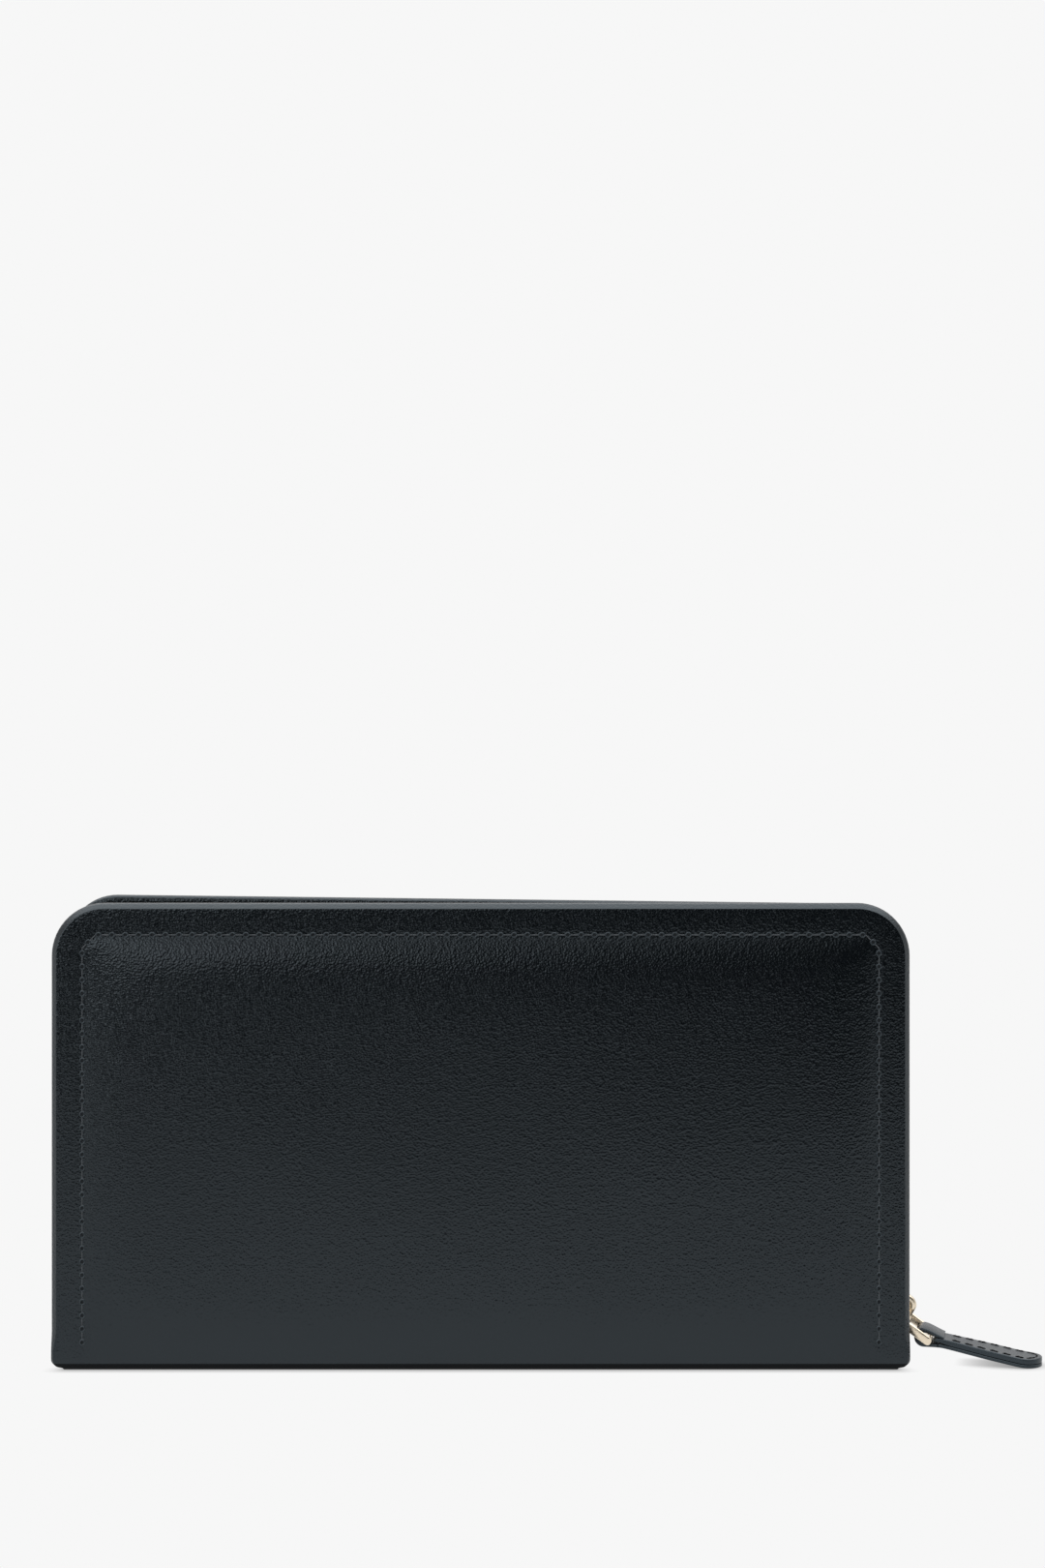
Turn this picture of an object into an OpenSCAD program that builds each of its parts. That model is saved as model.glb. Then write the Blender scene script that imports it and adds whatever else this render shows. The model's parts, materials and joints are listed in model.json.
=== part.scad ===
// Zip around wallet, standing on its spine.
// Millimetres. +X is the width, -Y the front face, +Z up. The origin is the middle of the spine's underside.

/* [Wallet] */
// Width over the covers
wallet_w = 195; // [190:1:200]
// Height over the covers
wallet_h = 106; // [103:1:108]
// Thickness over both covers
wallet_t = 24; // [24:0.1:24.5]
// Radius of the covers' top corners
corner_r = 12; // [11:0.5:13]
// Radius of the covers' bottom corners
foot_r = 3; // [2:0.5:4]
// Height of the covers' lower edges above the ground
cover_foot = 2.3; // [2.3:0.1:2.6]

/* [Covers] */
// Thickness of the outer leather
leather_t = 1.1; // [1:0.05:1.1]
// Width of the leather's turned edge, seen from inside
hem_w = 8; // [7.5:0.1:8.5]
// Thickness of the foam pad under the leather
foam_t = 0.5; // [0.4:0.05:0.5]
// Thickness of the stiffening board
board_t = 0.65; // [0.5:0.05:0.65]
// Thickness of the lining
lining_t = 0.4; // [0.3:0.05:0.4]
// Thickness of each card pocket layer
card_t = 0.5; // [0.4:0.05:0.5]
// Height of the lowest card pocket's top edge
low_tier_top = 61; // [56:1:64]
// Step between the tops of the card pockets
tier_step = 9.5; // [8:0.5:10]

/* [Spine] */
// Width of the spine across the wallet's thickness
spine_w = 18.8; // [18:0.1:18.8]
// Thickness of the spine's leather
spine_t = 1.3; // [1.2:0.05:1.3]

/* [Main zip] */
// Depth of the zip's middle plane below the covers' edges
zip_inset = 2.9; // [2.9:0.05:3.1]
// Thickness of the zip tapes
tape_t = 0.7; // [0.6:0.05:0.7]
// Distance between the teeth of one row
tooth_pitch = 2.2; // [2.2:0.1:2.6]
// Thickness of a tooth across the tape
tooth_t = 1.4; // [1.3:0.05:1.4]
// Height of the lower end of the slider when the zip is shut
slider_foot = 6.2; // [6.2:0.1:7]
// Length of the slider
slider_len = 11.2; // [11:0.1:11.2]
// Width of the slider
slider_w = 8; // [7.6:0.1:8]

/* [Pull] */
// Turn of the pull towards the front
pull_yaw = 12; // [6:1:12]
// Distance between the link's two bars
link_len = 7.4; // [7.2:0.1:7.4]
// Slope of the link below level
link_slope = 35; // [34:1:35]
// Slope of the strap below level
strap_slope = 8.5; // [8:0.1:8.5]
// Length of the strap beyond the link's far bar
strap_len = 25.6; // [22:0.1:25.6]
// Width of the strap
strap_w = 9.2; // [8:0.1:9.2]
// Thickness of each ply of the strap
ply_t = 1.05; // [0.9:0.05:1.05]

/* [Coin pocket] */
// Width of the coin pocket
coin_w = 172; // [168:1:172]
// Clear depth of the coin pocket, front to rear
coin_gap = 6.2; // [6.2:0.1:6.3]
// Height of the coin pocket's walls
coin_h = 78.7; // [78:0.1:80]
// Thickness of the coin pocket's walls
coin_wall_t = 0.6; // [0.5:0.05:0.6]
// Distance between the coin zip's teeth in one row
coin_pitch = 2; // [2:0.1:2.4]
// Place of the coin slider along X when the coin zip is shut
coin_closed_x = 72; // [66:1:72]

/* [Dividers] */
// Height of the note dividers' top edges
divider_top = 92; // [85:1:94]
// Thickness of the note dividers
divider_t = 0.8; // [0.6:0.1:0.8]

/* [Hidden] */
$fn = 48;
leather_black = "#1c1f21";
lining_black = "#2a2d30";
pale_gold = "#d8c29a";

// Distances from the middle plane of the wallet, towards the front
outer_y = wallet_t / 2;
leather_in = outer_y - leather_t;
rim_depth = 2.4;
rim_w = 1.2;
hem_t = 0.5;
hem_from = 0.6;
foot_hem_w = 4;
hem_out = outer_y - rim_depth;
hem_in = hem_out - hem_t;
lining_in = hem_in - lining_t;
layer_gap = 0.05;
foam_overlap = 0.5;
foam_rise = 3;
board_inset = 1.3;
lining_inset = 7.5;
lining_rise = 1;
card_w = 174;
card_rise = 1.7;
panel_drop = 10;
panel_in = lining_in - card_t;
divider_out = 5.55;
wall_in = coin_gap / 2;
wall_out = wall_in + coin_wall_t;

// Spine
spine_len = 190;
spine_board_size = [184, 16.4, 0.6];
spine_lining_size = [176, 17.2, 0.4];
spine_top = spine_t + spine_board_size[2] + spine_lining_size[2];

// Main zip: its path runs up the left side, over the top and down the right side
zip_x = wallet_w / 2 - zip_inset;
zip_top = wallet_h - zip_inset;
bend_r = corner_r - zip_inset;
bend_z = wallet_h - corner_r;
bend_x = wallet_w / 2 - corner_r;
bend_len = bend_r * PI / 2;
tape_edge = 1.2;
tape_foot = 4.2;
flange_t = 0.5;
flange_inset = 7;
fit = 0.01;
teeth_foot = 9.2;
meshed_from = 18;
splay = 0.12;
rise_len = bend_z - teeth_foot;
chain_len = 2 * rise_len + 2 * bend_len + 2 * bend_x;
tooth_count = floor(chain_len / tooth_pitch);

// Slider
plate_gap = 2;
plate_t = 0.65;
plate_r = 1.3;
plate_out = zip_x + plate_gap / 2 + plate_t;
lip_w = 0.7;
crown_w = 2.2;
crown_t = 1.2;
crown_reach = 4.25;
crown_low = 0.9;
crown_high = 9.9;
crown_middle = 6.6;

// Pull
pivot_x = plate_out + 1.5;
pivot_z = slider_foot + 3.4;
bar_r = 0.5;
far_bar_r = 0.4;
arm_w = 1;
arm_t = 1.3;
arm_in = strap_w / 2 + 0.3;
loop_in = 1.75;
loop_out = loop_in + ply_t;
strap_foot = -1.5;
loop_z = strap_foot + loop_out;
ply_gap = 0.02;
ply_from = 1.4;
facing_foot = strap_foot + ply_t + ply_gap;
facing_from = 2.95;
fold_foot = facing_foot + ply_t + ply_gap;
fold_end = 3.6;
fold_from = 1.6;
fold_bend = 2.5;
fold_start_low = 2.6;
fold_start_high = 3.5;

// Coin zip
coin_zip_z = coin_h - 0.3;
coin_strip_t = 1;
coin_strip_drop = 2.2;
coin_tape_t = 0.6;
coin_flange_t = 0.5;
coin_flange_h = 6;
coin_tape_half = coin_w / 2 - 1.5;
coin_tape_edge = 1;
coin_teeth_t = 1.4;
coin_first_x = -76;
coin_last_x = coin_closed_x - 2;
coin_count = floor((coin_last_x - coin_first_x) / coin_pitch);
coin_slider_len = 8;
coin_plate_top = coin_zip_z + 1.8;
coin_bar_r = 0.45;
coin_bar_z = coin_plate_top + 0.75;
coin_pull_len = 16;

// Gussets
gusset_t = 0.25;
fold_x = 72;
gusset_x = 88.65;
gusset_foot = 5;
gusset_top = 72;

// ---- Helpers

// An outline drawn in X and Z, given a thickness along Y from y0 to y0 + t
module upright(y0, t) {
  translate([0, y0 + t, 0]) rotate([90, 0, 0]) linear_extrude(t) children();
}

// The other side of the wallet, front to rear
module rear() {
  mirror([0, 1, 0]) children();
}

// The covers' outline, drawn in by inset on three sides, with its lower edge at foot
module cover_outline(inset, foot, foot_radius = 0) {
  half = wallet_w / 2 - inset;
  top = wallet_h - inset;
  r = corner_r - inset;
  translate([-half, foot + foot_radius]) square([2 * half, top - r - foot - foot_radius]);
  translate([foot_radius - half, foot]) square([2 * (half - foot_radius), top - r - foot]);
  translate([r - half, foot + foot_radius]) square([2 * (half - r), top - foot - foot_radius]);
  for (side = [-1, 1]) {
    translate([side * (half - r), top - r]) circle(r);
    if (foot_radius > 0) translate([side * (half - foot_radius), foot + foot_radius]) circle(foot_radius);
  }
}

// A band round the left, top and right sides, between two insets, open at the foot
module cover_band(outer, inner, foot) {
  difference() {
    cover_outline(outer, foot);
    cover_outline(inner, foot - 1);
  }
}

// A plain rectangle in X and Z, centred on X = 0
module sheet(width, foot, top) {
  translate([-width / 2, foot]) square([width, top - foot]);
}

// ---- Covers, drawn as the front one

// Outer leather: a face, the rim round its edge, and the hem turned to the inside
module cover_leather() {
  color(leather_black) {
    upright(-outer_y, leather_t) cover_outline(0, cover_foot, foot_r);
    upright(-leather_in, leather_in - hem_in) difference() {
      cover_outline(0, cover_foot, foot_r);
      cover_outline(rim_w, cover_foot + rim_w);
    }
    upright(-hem_out, hem_out - hem_in) difference() {
      cover_outline(hem_from, cover_foot + hem_from);
      cover_outline(hem_w, cover_foot + foot_hem_w);
    }
  }
}

module cover_foam() {
  color("dimgray") upright(layer_gap - leather_in, foam_t)
    cover_outline(hem_w - foam_overlap, cover_foot + foam_rise);
}

module cover_board() {
  color("dimgray") upright(-hem_out - board_t - layer_gap, board_t)
    cover_outline(board_inset, cover_foot + board_inset);
}

module cover_lining() {
  color(lining_black) upright(-hem_in, lining_t) cover_outline(lining_inset, cover_foot + lining_rise);
}

// A card pocket layer. The order counts from the card panel towards the middle of the wallet
module card_layer(order, top) {
  color(leather_black) upright(layer_gap - panel_in + order * (card_t + layer_gap), card_t)
    sheet(card_w, cover_foot + card_rise, top);
}

module card_panel() {
  color(leather_black) upright(-lining_in, card_t)
    sheet(card_w, cover_foot + card_rise, wallet_h - panel_drop);
}

module card_tier_high() {
  card_layer(0, low_tier_top + 2 * tier_step);
}

module card_tier_mid() {
  card_layer(1, low_tier_top + tier_step);
}

module card_tier_low() {
  card_layer(2, low_tier_top);
}

// Zip tape: the strip that closes the wallet's sides, and the flange sewn to the hem
module zip_tape() {
  color("#141618") {
    upright(-hem_in, hem_in - tape_edge)
      cover_band(zip_inset - tape_t / 2, zip_inset + tape_t / 2, tape_foot);
    upright(-hem_in, flange_t) cover_band(zip_inset - tape_t / 2, flange_inset, tape_foot);
  }
}

// Place and heading [x, z, angle] at a length s along the zip, from the lower left end
function zip_path(s) =
  s < rise_len ? [-zip_x, teeth_foot + s, 90]
  : s < rise_len + bend_len ? zip_bend(-bend_x, 180 - (s - rise_len) / bend_r * 180 / PI)
  : s < rise_len + bend_len + 2 * bend_x ? [s - rise_len - bend_len - bend_x, zip_top, 0]
  : s < rise_len + 2 * bend_len + 2 * bend_x
    ? zip_bend(bend_x, 90 - (s - rise_len - bend_len - 2 * bend_x) / bend_r * 180 / PI)
  : [zip_x, bend_z - (s - rise_len - 2 * bend_len - 2 * bend_x), -90];

function zip_bend(x, turn) = [x + bend_r * cos(turn), bend_z + bend_r * sin(turn), turn - 90];

// One tooth, along X, with its head towards +Y and a slot for a tape whose edge is at -edge
module tooth(edge, thickness, slot) {
  root_w = 0.45;
  head_w = 0.38;
  tip_w = 0.24;
  root = edge + 1.1;
  neck = edge - 0.1;
  head = 0.1;
  tip = 0.35;
  difference() {
    translate([0, 0, -thickness / 2]) linear_extrude(thickness) polygon([
      [-root_w, -root], [root_w, -root], [root_w, -neck], [head_w, head],
      [tip_w, tip], [-tip_w, tip], [-head_w, head], [-root_w, -neck]
    ]);
    translate([-1, -edge - 2, -slot / 2]) cube([2, 2, slot]);
  }
}

// A row of teeth. At both ends the row draws back a little from the other one
module zip_teeth(shift) {
  color(pale_gold) for (i = [0 : tooth_count - 2]) {
    at = zip_path((i + 0.5 + shift) * tooth_pitch);
    back = max(0, meshed_from - at[1]) * splay;
    translate([at[0], -back, at[1]]) rotate([0, -at[2], 0]) tooth(tape_edge, tooth_t, tape_t + 2 * fit);
  }
}

// The stops at the two ends of one tape
module zip_stops() {
  back = 2.4;
  run = 1.9;
  height = 1.3;
  rise = 0.3;
  color(pale_gold) for (side = [-1, 1])
    translate([side * zip_x - tooth_t / 2, -back, tape_foot + rise]) difference() {
      cube([tooth_t, run, height]);
      translate([(tooth_t - tape_t) / 2 - fit, -1, -1])
        cube([tape_t + 2 * fit, 1 + back - tape_edge, height + 2]);
    }
}

// ---- Main slider and pull

// Two plates, the lips that guide the tapes and the wedge that parts the teeth.
// The rear lips are lower, so that the rear teeth can come out when a cover opens.
module slider_body() {
  half_w = slider_w / 2;
  front_lip = 0.4;
  rear_lip = 0.15;
  wedge_w = 0.9;
  wedge_foot = 0.3;
  wedge_middle = 1.4;
  wedge_top = 2.8;
  color(pale_gold) {
    for (side = [-1, 1])
      translate([zip_x + side * (plate_gap + plate_t) / 2 - plate_t / 2, 0, slider_foot])
        rotate([90, 0, 90]) linear_extrude(plate_t) slider_plate(half_w);
    for (side = [-1, 1]) {
      slider_lip(side, -half_w, front_lip);
      slider_lip(side, half_w - lip_w, rear_lip);
    }
    translate([zip_x - plate_gap / 2, 0, slider_foot]) rotate([90, 0, 90]) linear_extrude(plate_gap)
      polygon([[0, wedge_foot], [wedge_w, wedge_middle], [0, wedge_top], [-wedge_w, wedge_middle]]);
  }
}

module slider_plate(half_w) {
  translate([-half_w, plate_r]) square([2 * half_w, slider_len - 2 * plate_r]);
  translate([plate_r - half_w, 0]) square([2 * (half_w - plate_r), slider_len]);
  for (side = [-1, 1], z = [plate_r, slider_len - plate_r])
    translate([side * (half_w - plate_r), z]) circle(plate_r);
}

module slider_lip(side, y, rise) {
  x = side > 0 ? zip_x + plate_gap / 2 - rise : zip_x - plate_gap / 2;
  translate([x, y, slider_foot + plate_r]) cube([rise, lip_w, slider_len - 2 * plate_r]);
}

// The crown is an arch on the slider's outer plate, and the link's near bar runs through it
module slider_crown() {
  color(pale_gold) translate([plate_out, crown_w / 2, slider_foot]) rotate([90, 0, 0])
    linear_extrude(crown_w) difference() {
      crown_outline(0);
      crown_outline(crown_t);
    }
}

module crown_outline(inset) {
  reach = crown_reach - inset;
  low = crown_low + inset;
  high = crown_high - inset;
  back = inset > 0 ? -0.1 : 0;
  foot_run = 1.9;
  head_run = 1.2;
  polygon([
    [back, low], [foot_run, low], [reach - 0.7, low + 1.1], [reach - 0.2, low + 3.4],
    [reach, crown_middle], [reach - 0.6, high - 1.7], [reach - 1.9, high - 0.5],
    [head_run, high], [back, high]
  ]);
}

// Frames of the pull's pieces: X runs outwards along the piece, from its own hinge
module link_place() {
  translate([pivot_x, 0, pivot_z]) rotate([0, 0, -pull_yaw]) rotate([0, link_slope, 0]) children();
}

module strap_place() {
  translate([pivot_x, 0, pivot_z]) rotate([0, 0, -pull_yaw])
    translate([link_len * cos(link_slope), 0, -link_len * sin(link_slope)])
      rotate([0, strap_slope, 0]) children();
}

// A bar or strip across the pull, drawn in X and Z
module across(width) {
  translate([0, width / 2, 0]) rotate([90, 0, 0]) linear_extrude(width) children();
}

module pull_link() {
  frame_w = 2 * (arm_in + arm_w);
  color(pale_gold) link_place() {
    across(frame_w) circle(bar_r);
    for (side = [-1, 1])
      translate([0, side * (arm_in + arm_w / 2), 0]) across(arm_w) {
        circle(arm_t / 2);
        translate([0, -arm_t / 2]) square([link_len + 0.6, arm_t]);
      }
    across(frame_w) translate([link_len, 0]) circle(far_bar_r);
  }
}

// The strap's lower ply runs round the link's far bar and comes back over the top
module pull_strap() {
  color(leather_black) strap_place() {
    difference() {
      across(strap_w) {
        translate([0, loop_z]) circle(loop_out);
        polygon([
          [fold_from, fold_start_high], [fold_end, fold_foot + ply_t], [fold_end, fold_foot],
          [fold_bend, fold_foot], [fold_from, fold_start_low]
        ]);
      }
      across(strap_w + 1) translate([0, loop_z]) circle(loop_in);
    }
    intersection() {
      strap_outline();
      translate([0, 0, strap_foot]) across(strap_w) translate([ply_from, 0]) square([strap_len, ply_t]);
    }
  }
}

module pull_facing() {
  color(leather_black) strap_place() intersection() {
    strap_outline();
    across(strap_w) translate([facing_from, facing_foot]) square([strap_len, ply_t]);
  }
}

// The strap's shape from above, with its round end
module strap_outline() {
  half_w = strap_w / 2;
  translate([0, 0, -4]) linear_extrude(8) {
    translate([0, -half_w]) square([strap_len - half_w, strap_w]);
    translate([strap_len - half_w, 0]) circle(half_w);
  }
}

// ---- Spine

// A level layer of the spine, of a size along X, Y and Z
module spine_layer(size, foot) {
  translate([-size[0] / 2, -size[1] / 2, foot]) cube(size);
}

module spine_leather() {
  color(leather_black) spine_layer([spine_len, spine_w, spine_t], 0);
}

module spine_board() {
  color("dimgray") spine_layer(spine_board_size, spine_t);
}

module spine_lining() {
  color(lining_black) spine_layer(spine_lining_size, spine_t + spine_board_size[2]);
}

// ---- Coin pocket

module coin_wall() {
  color(lining_black) upright(-wall_out, coin_wall_t) sheet(coin_w, spine_top, coin_h);
}

// One strip makes the pocket's bottom and its two ends
module coin_pocket_strip() {
  color(lining_black) upright(-wall_in, coin_gap) difference() {
    sheet(coin_w, spine_top, coin_h - coin_strip_drop);
    sheet(coin_w - 2 * coin_strip_t, spine_top + coin_strip_t, coin_h);
  }
}

// Coin zip tape: a level strip with its teeth, and a flange sewn inside the wall
module coin_tape() {
  foot = coin_zip_z - coin_tape_t / 2;
  color("#141618") {
    translate([-coin_tape_half, -wall_in, foot])
      cube([2 * coin_tape_half, wall_in - coin_tape_edge, coin_tape_t]);
    translate([-coin_tape_half, -wall_in, foot - coin_flange_h])
      cube([2 * coin_tape_half, coin_flange_t, coin_flange_h + 0.1]);
  }
}

module coin_teeth(shift) {
  color(pale_gold) for (i = [0 : coin_count - 1])
    translate([coin_first_x + (i + shift) * coin_pitch, 0, coin_zip_z])
      tooth(coin_tape_edge, coin_teeth_t, coin_tape_t + 2 * fit);
}

module coin_zip_stops() {
  x = coin_closed_x + coin_slider_len / 2 + 1;
  color(pale_gold) for (place = [coin_first_x - 2, x], side = [-1, 1])
    translate([place, side > 0 ? 0.5 : -2.1, coin_zip_z - 0.7]) difference() {
      cube([1.4, 1.6, 1.4]);
      translate([-1, side > 0 ? coin_tape_edge - 0.5 : -1, 0.7 - coin_tape_t / 2 - 0.01])
        cube([4, side > 0 ? 3 : 3.1 - coin_tape_edge, coin_tape_t + 0.02]);
    }
}

module coin_slider_body() {
  half = coin_slider_len / 2;
  top_z = coin_plate_top - 0.8;
  color(pale_gold) translate([coin_closed_x, 0, 0]) {
    translate([-half, -2.9, top_z]) cube([2 * half, 5.8, 0.8]);
    for (y = [-2.9, 2.3]) translate([0.8 - half, y, top_z - 0.4]) cube([2 * half - 1.6, 0.6, 0.5]);
    translate([-half, -2.2, coin_zip_z - 1.8]) cube([2 * half, 4.4, 0.8]);
    translate([0, 0, coin_zip_z - 1.1]) linear_extrude(top_z - coin_zip_z + 1.2)
      polygon([[1.2, 0], [2.6, -0.7], [3.8, 0], [2.6, 0.7]]);
  }
}

module coin_slider_crown() {
  color(pale_gold) translate([coin_closed_x, 0.9, coin_plate_top]) rotate([90, 0, 0]) linear_extrude(1.8)
    difference() {
      polygon([[-2.4, 0], [2.4, 0], [2.4, 1.7], [1.6, 2.4], [-1.6, 2.4], [-2.4, 1.7]]);
      translate([-1.6, -1]) square([3.2, 2.6]);
    }
}

// The coin zip's pull lies along -X and swings up and over to +X
module coin_pull() {
  arm = 0.8;
  from = 3.4;
  half_w = 2.6;
  color(pale_gold) translate([coin_closed_x, 0, coin_bar_z]) {
    across(4.2) circle(coin_bar_r);
    for (side = [-1, 1]) translate([0, side * 1.7, 0]) across(arm) {
      circle(coin_bar_r);
      translate([-from - 0.4, -coin_bar_r]) square([from + 0.4, 2 * coin_bar_r]);
    }
    translate([0, 0, -coin_bar_r]) linear_extrude(2 * coin_bar_r) difference() {
      union() {
        translate([half_w - coin_pull_len, -half_w]) square([coin_pull_len - half_w - from, 2 * half_w]);
        translate([half_w - coin_pull_len, 0]) circle(half_w);
      }
      translate([half_w - coin_pull_len, 0]) circle(1.1);
    }
  }
}

// ---- Dividers and gussets, drawn as the front and right ones

module note_divider() {
  color(lining_black) upright(-divider_out, divider_t) sheet(coin_w, 3.3, divider_top);
}

// Two folds join the cover, the divider and the coin pocket
module gusset() {
  run = gusset_x - fold_x;
  cover_fold = 6.35;
  divider_fold = 6;
  pocket_fold = 4.6;
  color(lining_black) translate([0, 0, gusset_foot]) linear_extrude(gusset_top - gusset_foot) {
    translate([gusset_x - gusset_t, 0.02 - lining_in])
      square([gusset_t, lining_in - 0.02 - cover_fold + gusset_t]);
    for (y = [-cover_fold, -divider_fold, -pocket_fold]) translate([fold_x, y]) square([run, gusset_t]);
    translate([fold_x, -wall_out - gusset_t]) square([coin_w / 2 - fold_x, gusset_t]);
    translate([fold_x, -cover_fold]) square([gusset_t, cover_fold - divider_fold + gusset_t]);
    translate([gusset_x - gusset_t, -divider_fold])
      square([gusset_t, divider_fold - pocket_fold + gusset_t]);
    translate([fold_x, -pocket_fold]) square([gusset_t, pocket_fold - wall_out]);
  }
}

// ---- The assembly

spine_leather();
spine_board();
spine_lining();
coin_wall();  // coin_wall_front
rear() coin_wall();  // coin_wall_rear
coin_pocket_strip();
coin_tape();  // coin_tape_front
rear() coin_tape();  // coin_tape_rear
coin_teeth(0);  // coin_teeth_front
rear() coin_teeth(0.5);  // coin_teeth_rear
coin_zip_stops();
mirror([1, 0, 0]) gusset();  // gusset_front_left
gusset();  // gusset_front_right
rear() mirror([1, 0, 0]) gusset();  // gusset_rear_left
rear() gusset();  // gusset_rear_right
cover_leather();  // front_leather
cover_foam();  // front_foam
cover_board();  // front_board
cover_lining();  // front_lining
card_panel();  // front_card_panel
card_tier_high();  // front_card_tier_high
card_tier_mid();  // front_card_tier_mid
card_tier_low();  // front_card_tier_low
zip_tape();  // front_zip_tape
zip_teeth(0);  // front_zip_teeth
zip_stops();  // front_zip_stops
rear() cover_leather();  // rear_leather
rear() cover_foam();  // rear_foam
rear() cover_board();  // rear_board
rear() cover_lining();  // rear_lining
rear() card_panel();  // rear_card_panel
rear() card_tier_high();  // rear_card_tier_high
rear() card_tier_mid();  // rear_card_tier_mid
rear() card_tier_low();  // rear_card_tier_low
rear() zip_tape();  // rear_zip_tape
rear() zip_teeth(0.5);  // rear_zip_teeth
rear() zip_stops();  // rear_zip_stops
note_divider();  // front_divider
rear() note_divider();  // rear_divider
slider_body();
slider_crown();
pull_link();
pull_strap();
pull_facing();
coin_slider_body();
coin_slider_crown();
coin_pull();
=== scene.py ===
"""The looks of a zip around wallet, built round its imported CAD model.

Lengths in this script are millimetres, turned into metres where a mesh is made.
Places come from the frame: +X is the width, -Y the front face, +Z up.
"""
import json
import math

import bmesh
import bpy
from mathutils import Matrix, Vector, noise


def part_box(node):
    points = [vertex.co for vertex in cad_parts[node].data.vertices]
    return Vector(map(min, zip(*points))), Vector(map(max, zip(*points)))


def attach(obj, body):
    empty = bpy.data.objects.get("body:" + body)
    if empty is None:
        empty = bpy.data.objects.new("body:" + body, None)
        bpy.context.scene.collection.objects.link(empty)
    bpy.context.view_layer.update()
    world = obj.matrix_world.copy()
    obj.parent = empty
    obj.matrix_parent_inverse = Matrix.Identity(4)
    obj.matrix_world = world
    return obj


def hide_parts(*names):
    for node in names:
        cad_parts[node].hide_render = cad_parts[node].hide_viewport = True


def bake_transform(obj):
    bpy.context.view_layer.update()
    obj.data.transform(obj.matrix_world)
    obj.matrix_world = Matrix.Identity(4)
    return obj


MM = 0.001
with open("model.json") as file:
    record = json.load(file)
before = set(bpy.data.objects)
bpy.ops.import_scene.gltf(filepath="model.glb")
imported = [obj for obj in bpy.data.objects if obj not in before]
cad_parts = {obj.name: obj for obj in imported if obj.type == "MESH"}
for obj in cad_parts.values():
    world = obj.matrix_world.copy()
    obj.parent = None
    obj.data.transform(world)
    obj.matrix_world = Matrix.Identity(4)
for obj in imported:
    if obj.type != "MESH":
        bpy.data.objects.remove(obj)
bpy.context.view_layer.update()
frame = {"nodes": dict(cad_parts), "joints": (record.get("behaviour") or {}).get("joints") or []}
joints = {j["name"]: j for j in frame["joints"]}


def box_mm(node):
    """The lowest and highest corners of a CAD node, in millimetres."""
    low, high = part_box(node)
    return low / MM, high / MM


def joint_place(name):
    return Vector(joints[name]["pos_m"]) / MM


# ---- Driving dimensions, in millimetres

COVER_LOW, COVER_HIGH = box_mm("front_leather")
HALF_W = COVER_HIGH.x
TOP = COVER_HIGH.z
OUT_Y = -COVER_LOW.y
CORNER_R = 12.0
ARC_X = HALF_W - CORNER_R
ARC_Z = TOP - CORNER_R
FOOT_CORNER_R = 2.2
FOOT_BEND_H = 3.0
FOOT_BEND_D = 1.7
EDGE_R = 1.45
# The turned edge's section from the face round to the inside, as (inset, depth) in edge radii
EDGE_SHAPE = [(1.06, 0), (0.93, 0.008), (0.87, 0.03), (0.82, 0.075), (0.6, 0.3), (0.36, 0.54), (0.2, 0.71),
              (0.09, 0.88), (0.02, 1.06), (0, 1.25), (0.04, 1.5), (0.16, 1.74), (0.38, 1.92),
              (0.66, 1.985), (1.0, 2.0)]
FOOT_EDGE_R = 0.65
# Height below which the leather's faces take the dark matt strip of painted shade at the foot
FOOT_SHADE_TO = 1.9
LEATHER_T = 1.1
# Insets of the leather's points on the face, from the middle out to the edge
FACE_INSETS = (12, 11, 10, 9.3, 8.8, 8.4, 8.0, 7.7, 7.4, 7.1, 6.8, 6.4, 5.8, 5, 4.1, 3.2, 2.4, 1.8)
HEM_W = 8.0
HEM_FOOT_W = 1.8
HEM_T = 0.5
STITCH_INSET = 7.2
STITCH_PITCH = 3.05
STITCH_FOOT = 6.5
STITCH_CUT = 3.0
STITCH_GAP = 0.4
STRAND_R = 0.14
STRAND_LIFT = 0.2
# A pricked hole's section, as (radius, rise): the lip, then the cup
HOLE_SHAPE = [(0.78, -0.06), (0.74, 0.05), (0.66, 0.15), (0.56, 0.18), (0.44, 0.1), (0.38, 0.02)]
HOLE_LIP = 5
HOLE_SIDES = 14
PAD_FROM = 7.7
PAD_FOOT = 3.6
PAD_RISE = 1.3
PAD_TIGHT = 3.6
PAD_SEED = {"front": 1.0, "rear": 7.0}
GRID_STEP = 1.5
REAR_TILT = 1.15
STRAP_HALF_W = 4.6
STRAP_T = 2.1
CAMERA_PLACE = (9.5, -612, 133)
CAMERA_LENS = 60.8
CAMERA_SENSOR = 36
FLOOR_SHADE_D = 3.2

# The side that a cover lies on: 1 for what faces -Y
SIGN = {"front": 1, "rear": -1}

ROOM_LEVEL = 0.93
SKY_LEVEL = 2.9
SIDE_LEVEL = 1.0
KEY_LEVEL = 2.4


# ---- Small helpers

def smooth(a, b, x):
    """0 before a, 1 after b, and a smooth rise between them."""
    t = min(1.0, max(0.0, (x - a) / (b - a)))
    return t * t * (3 - 2 * t)


def spread(a, b, step):
    """Evenly spaced numbers from a to b, about step apart."""
    count = max(1, round(abs(b - a) / step))
    return [a + (b - a) * i / count for i in range(count + 1)]


def eased(path, step):
    """A path with extra points, about step apart."""
    points = []
    for a, b in zip(path, path[1:]):
        count = max(1, round(math.dist(a, b) / step))
        points += [(a[0] + (b[0] - a[0]) * i / count, a[1] + (b[1] - a[1]) * i / count) for i in range(count)]
    return points + [path[-1]]


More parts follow.
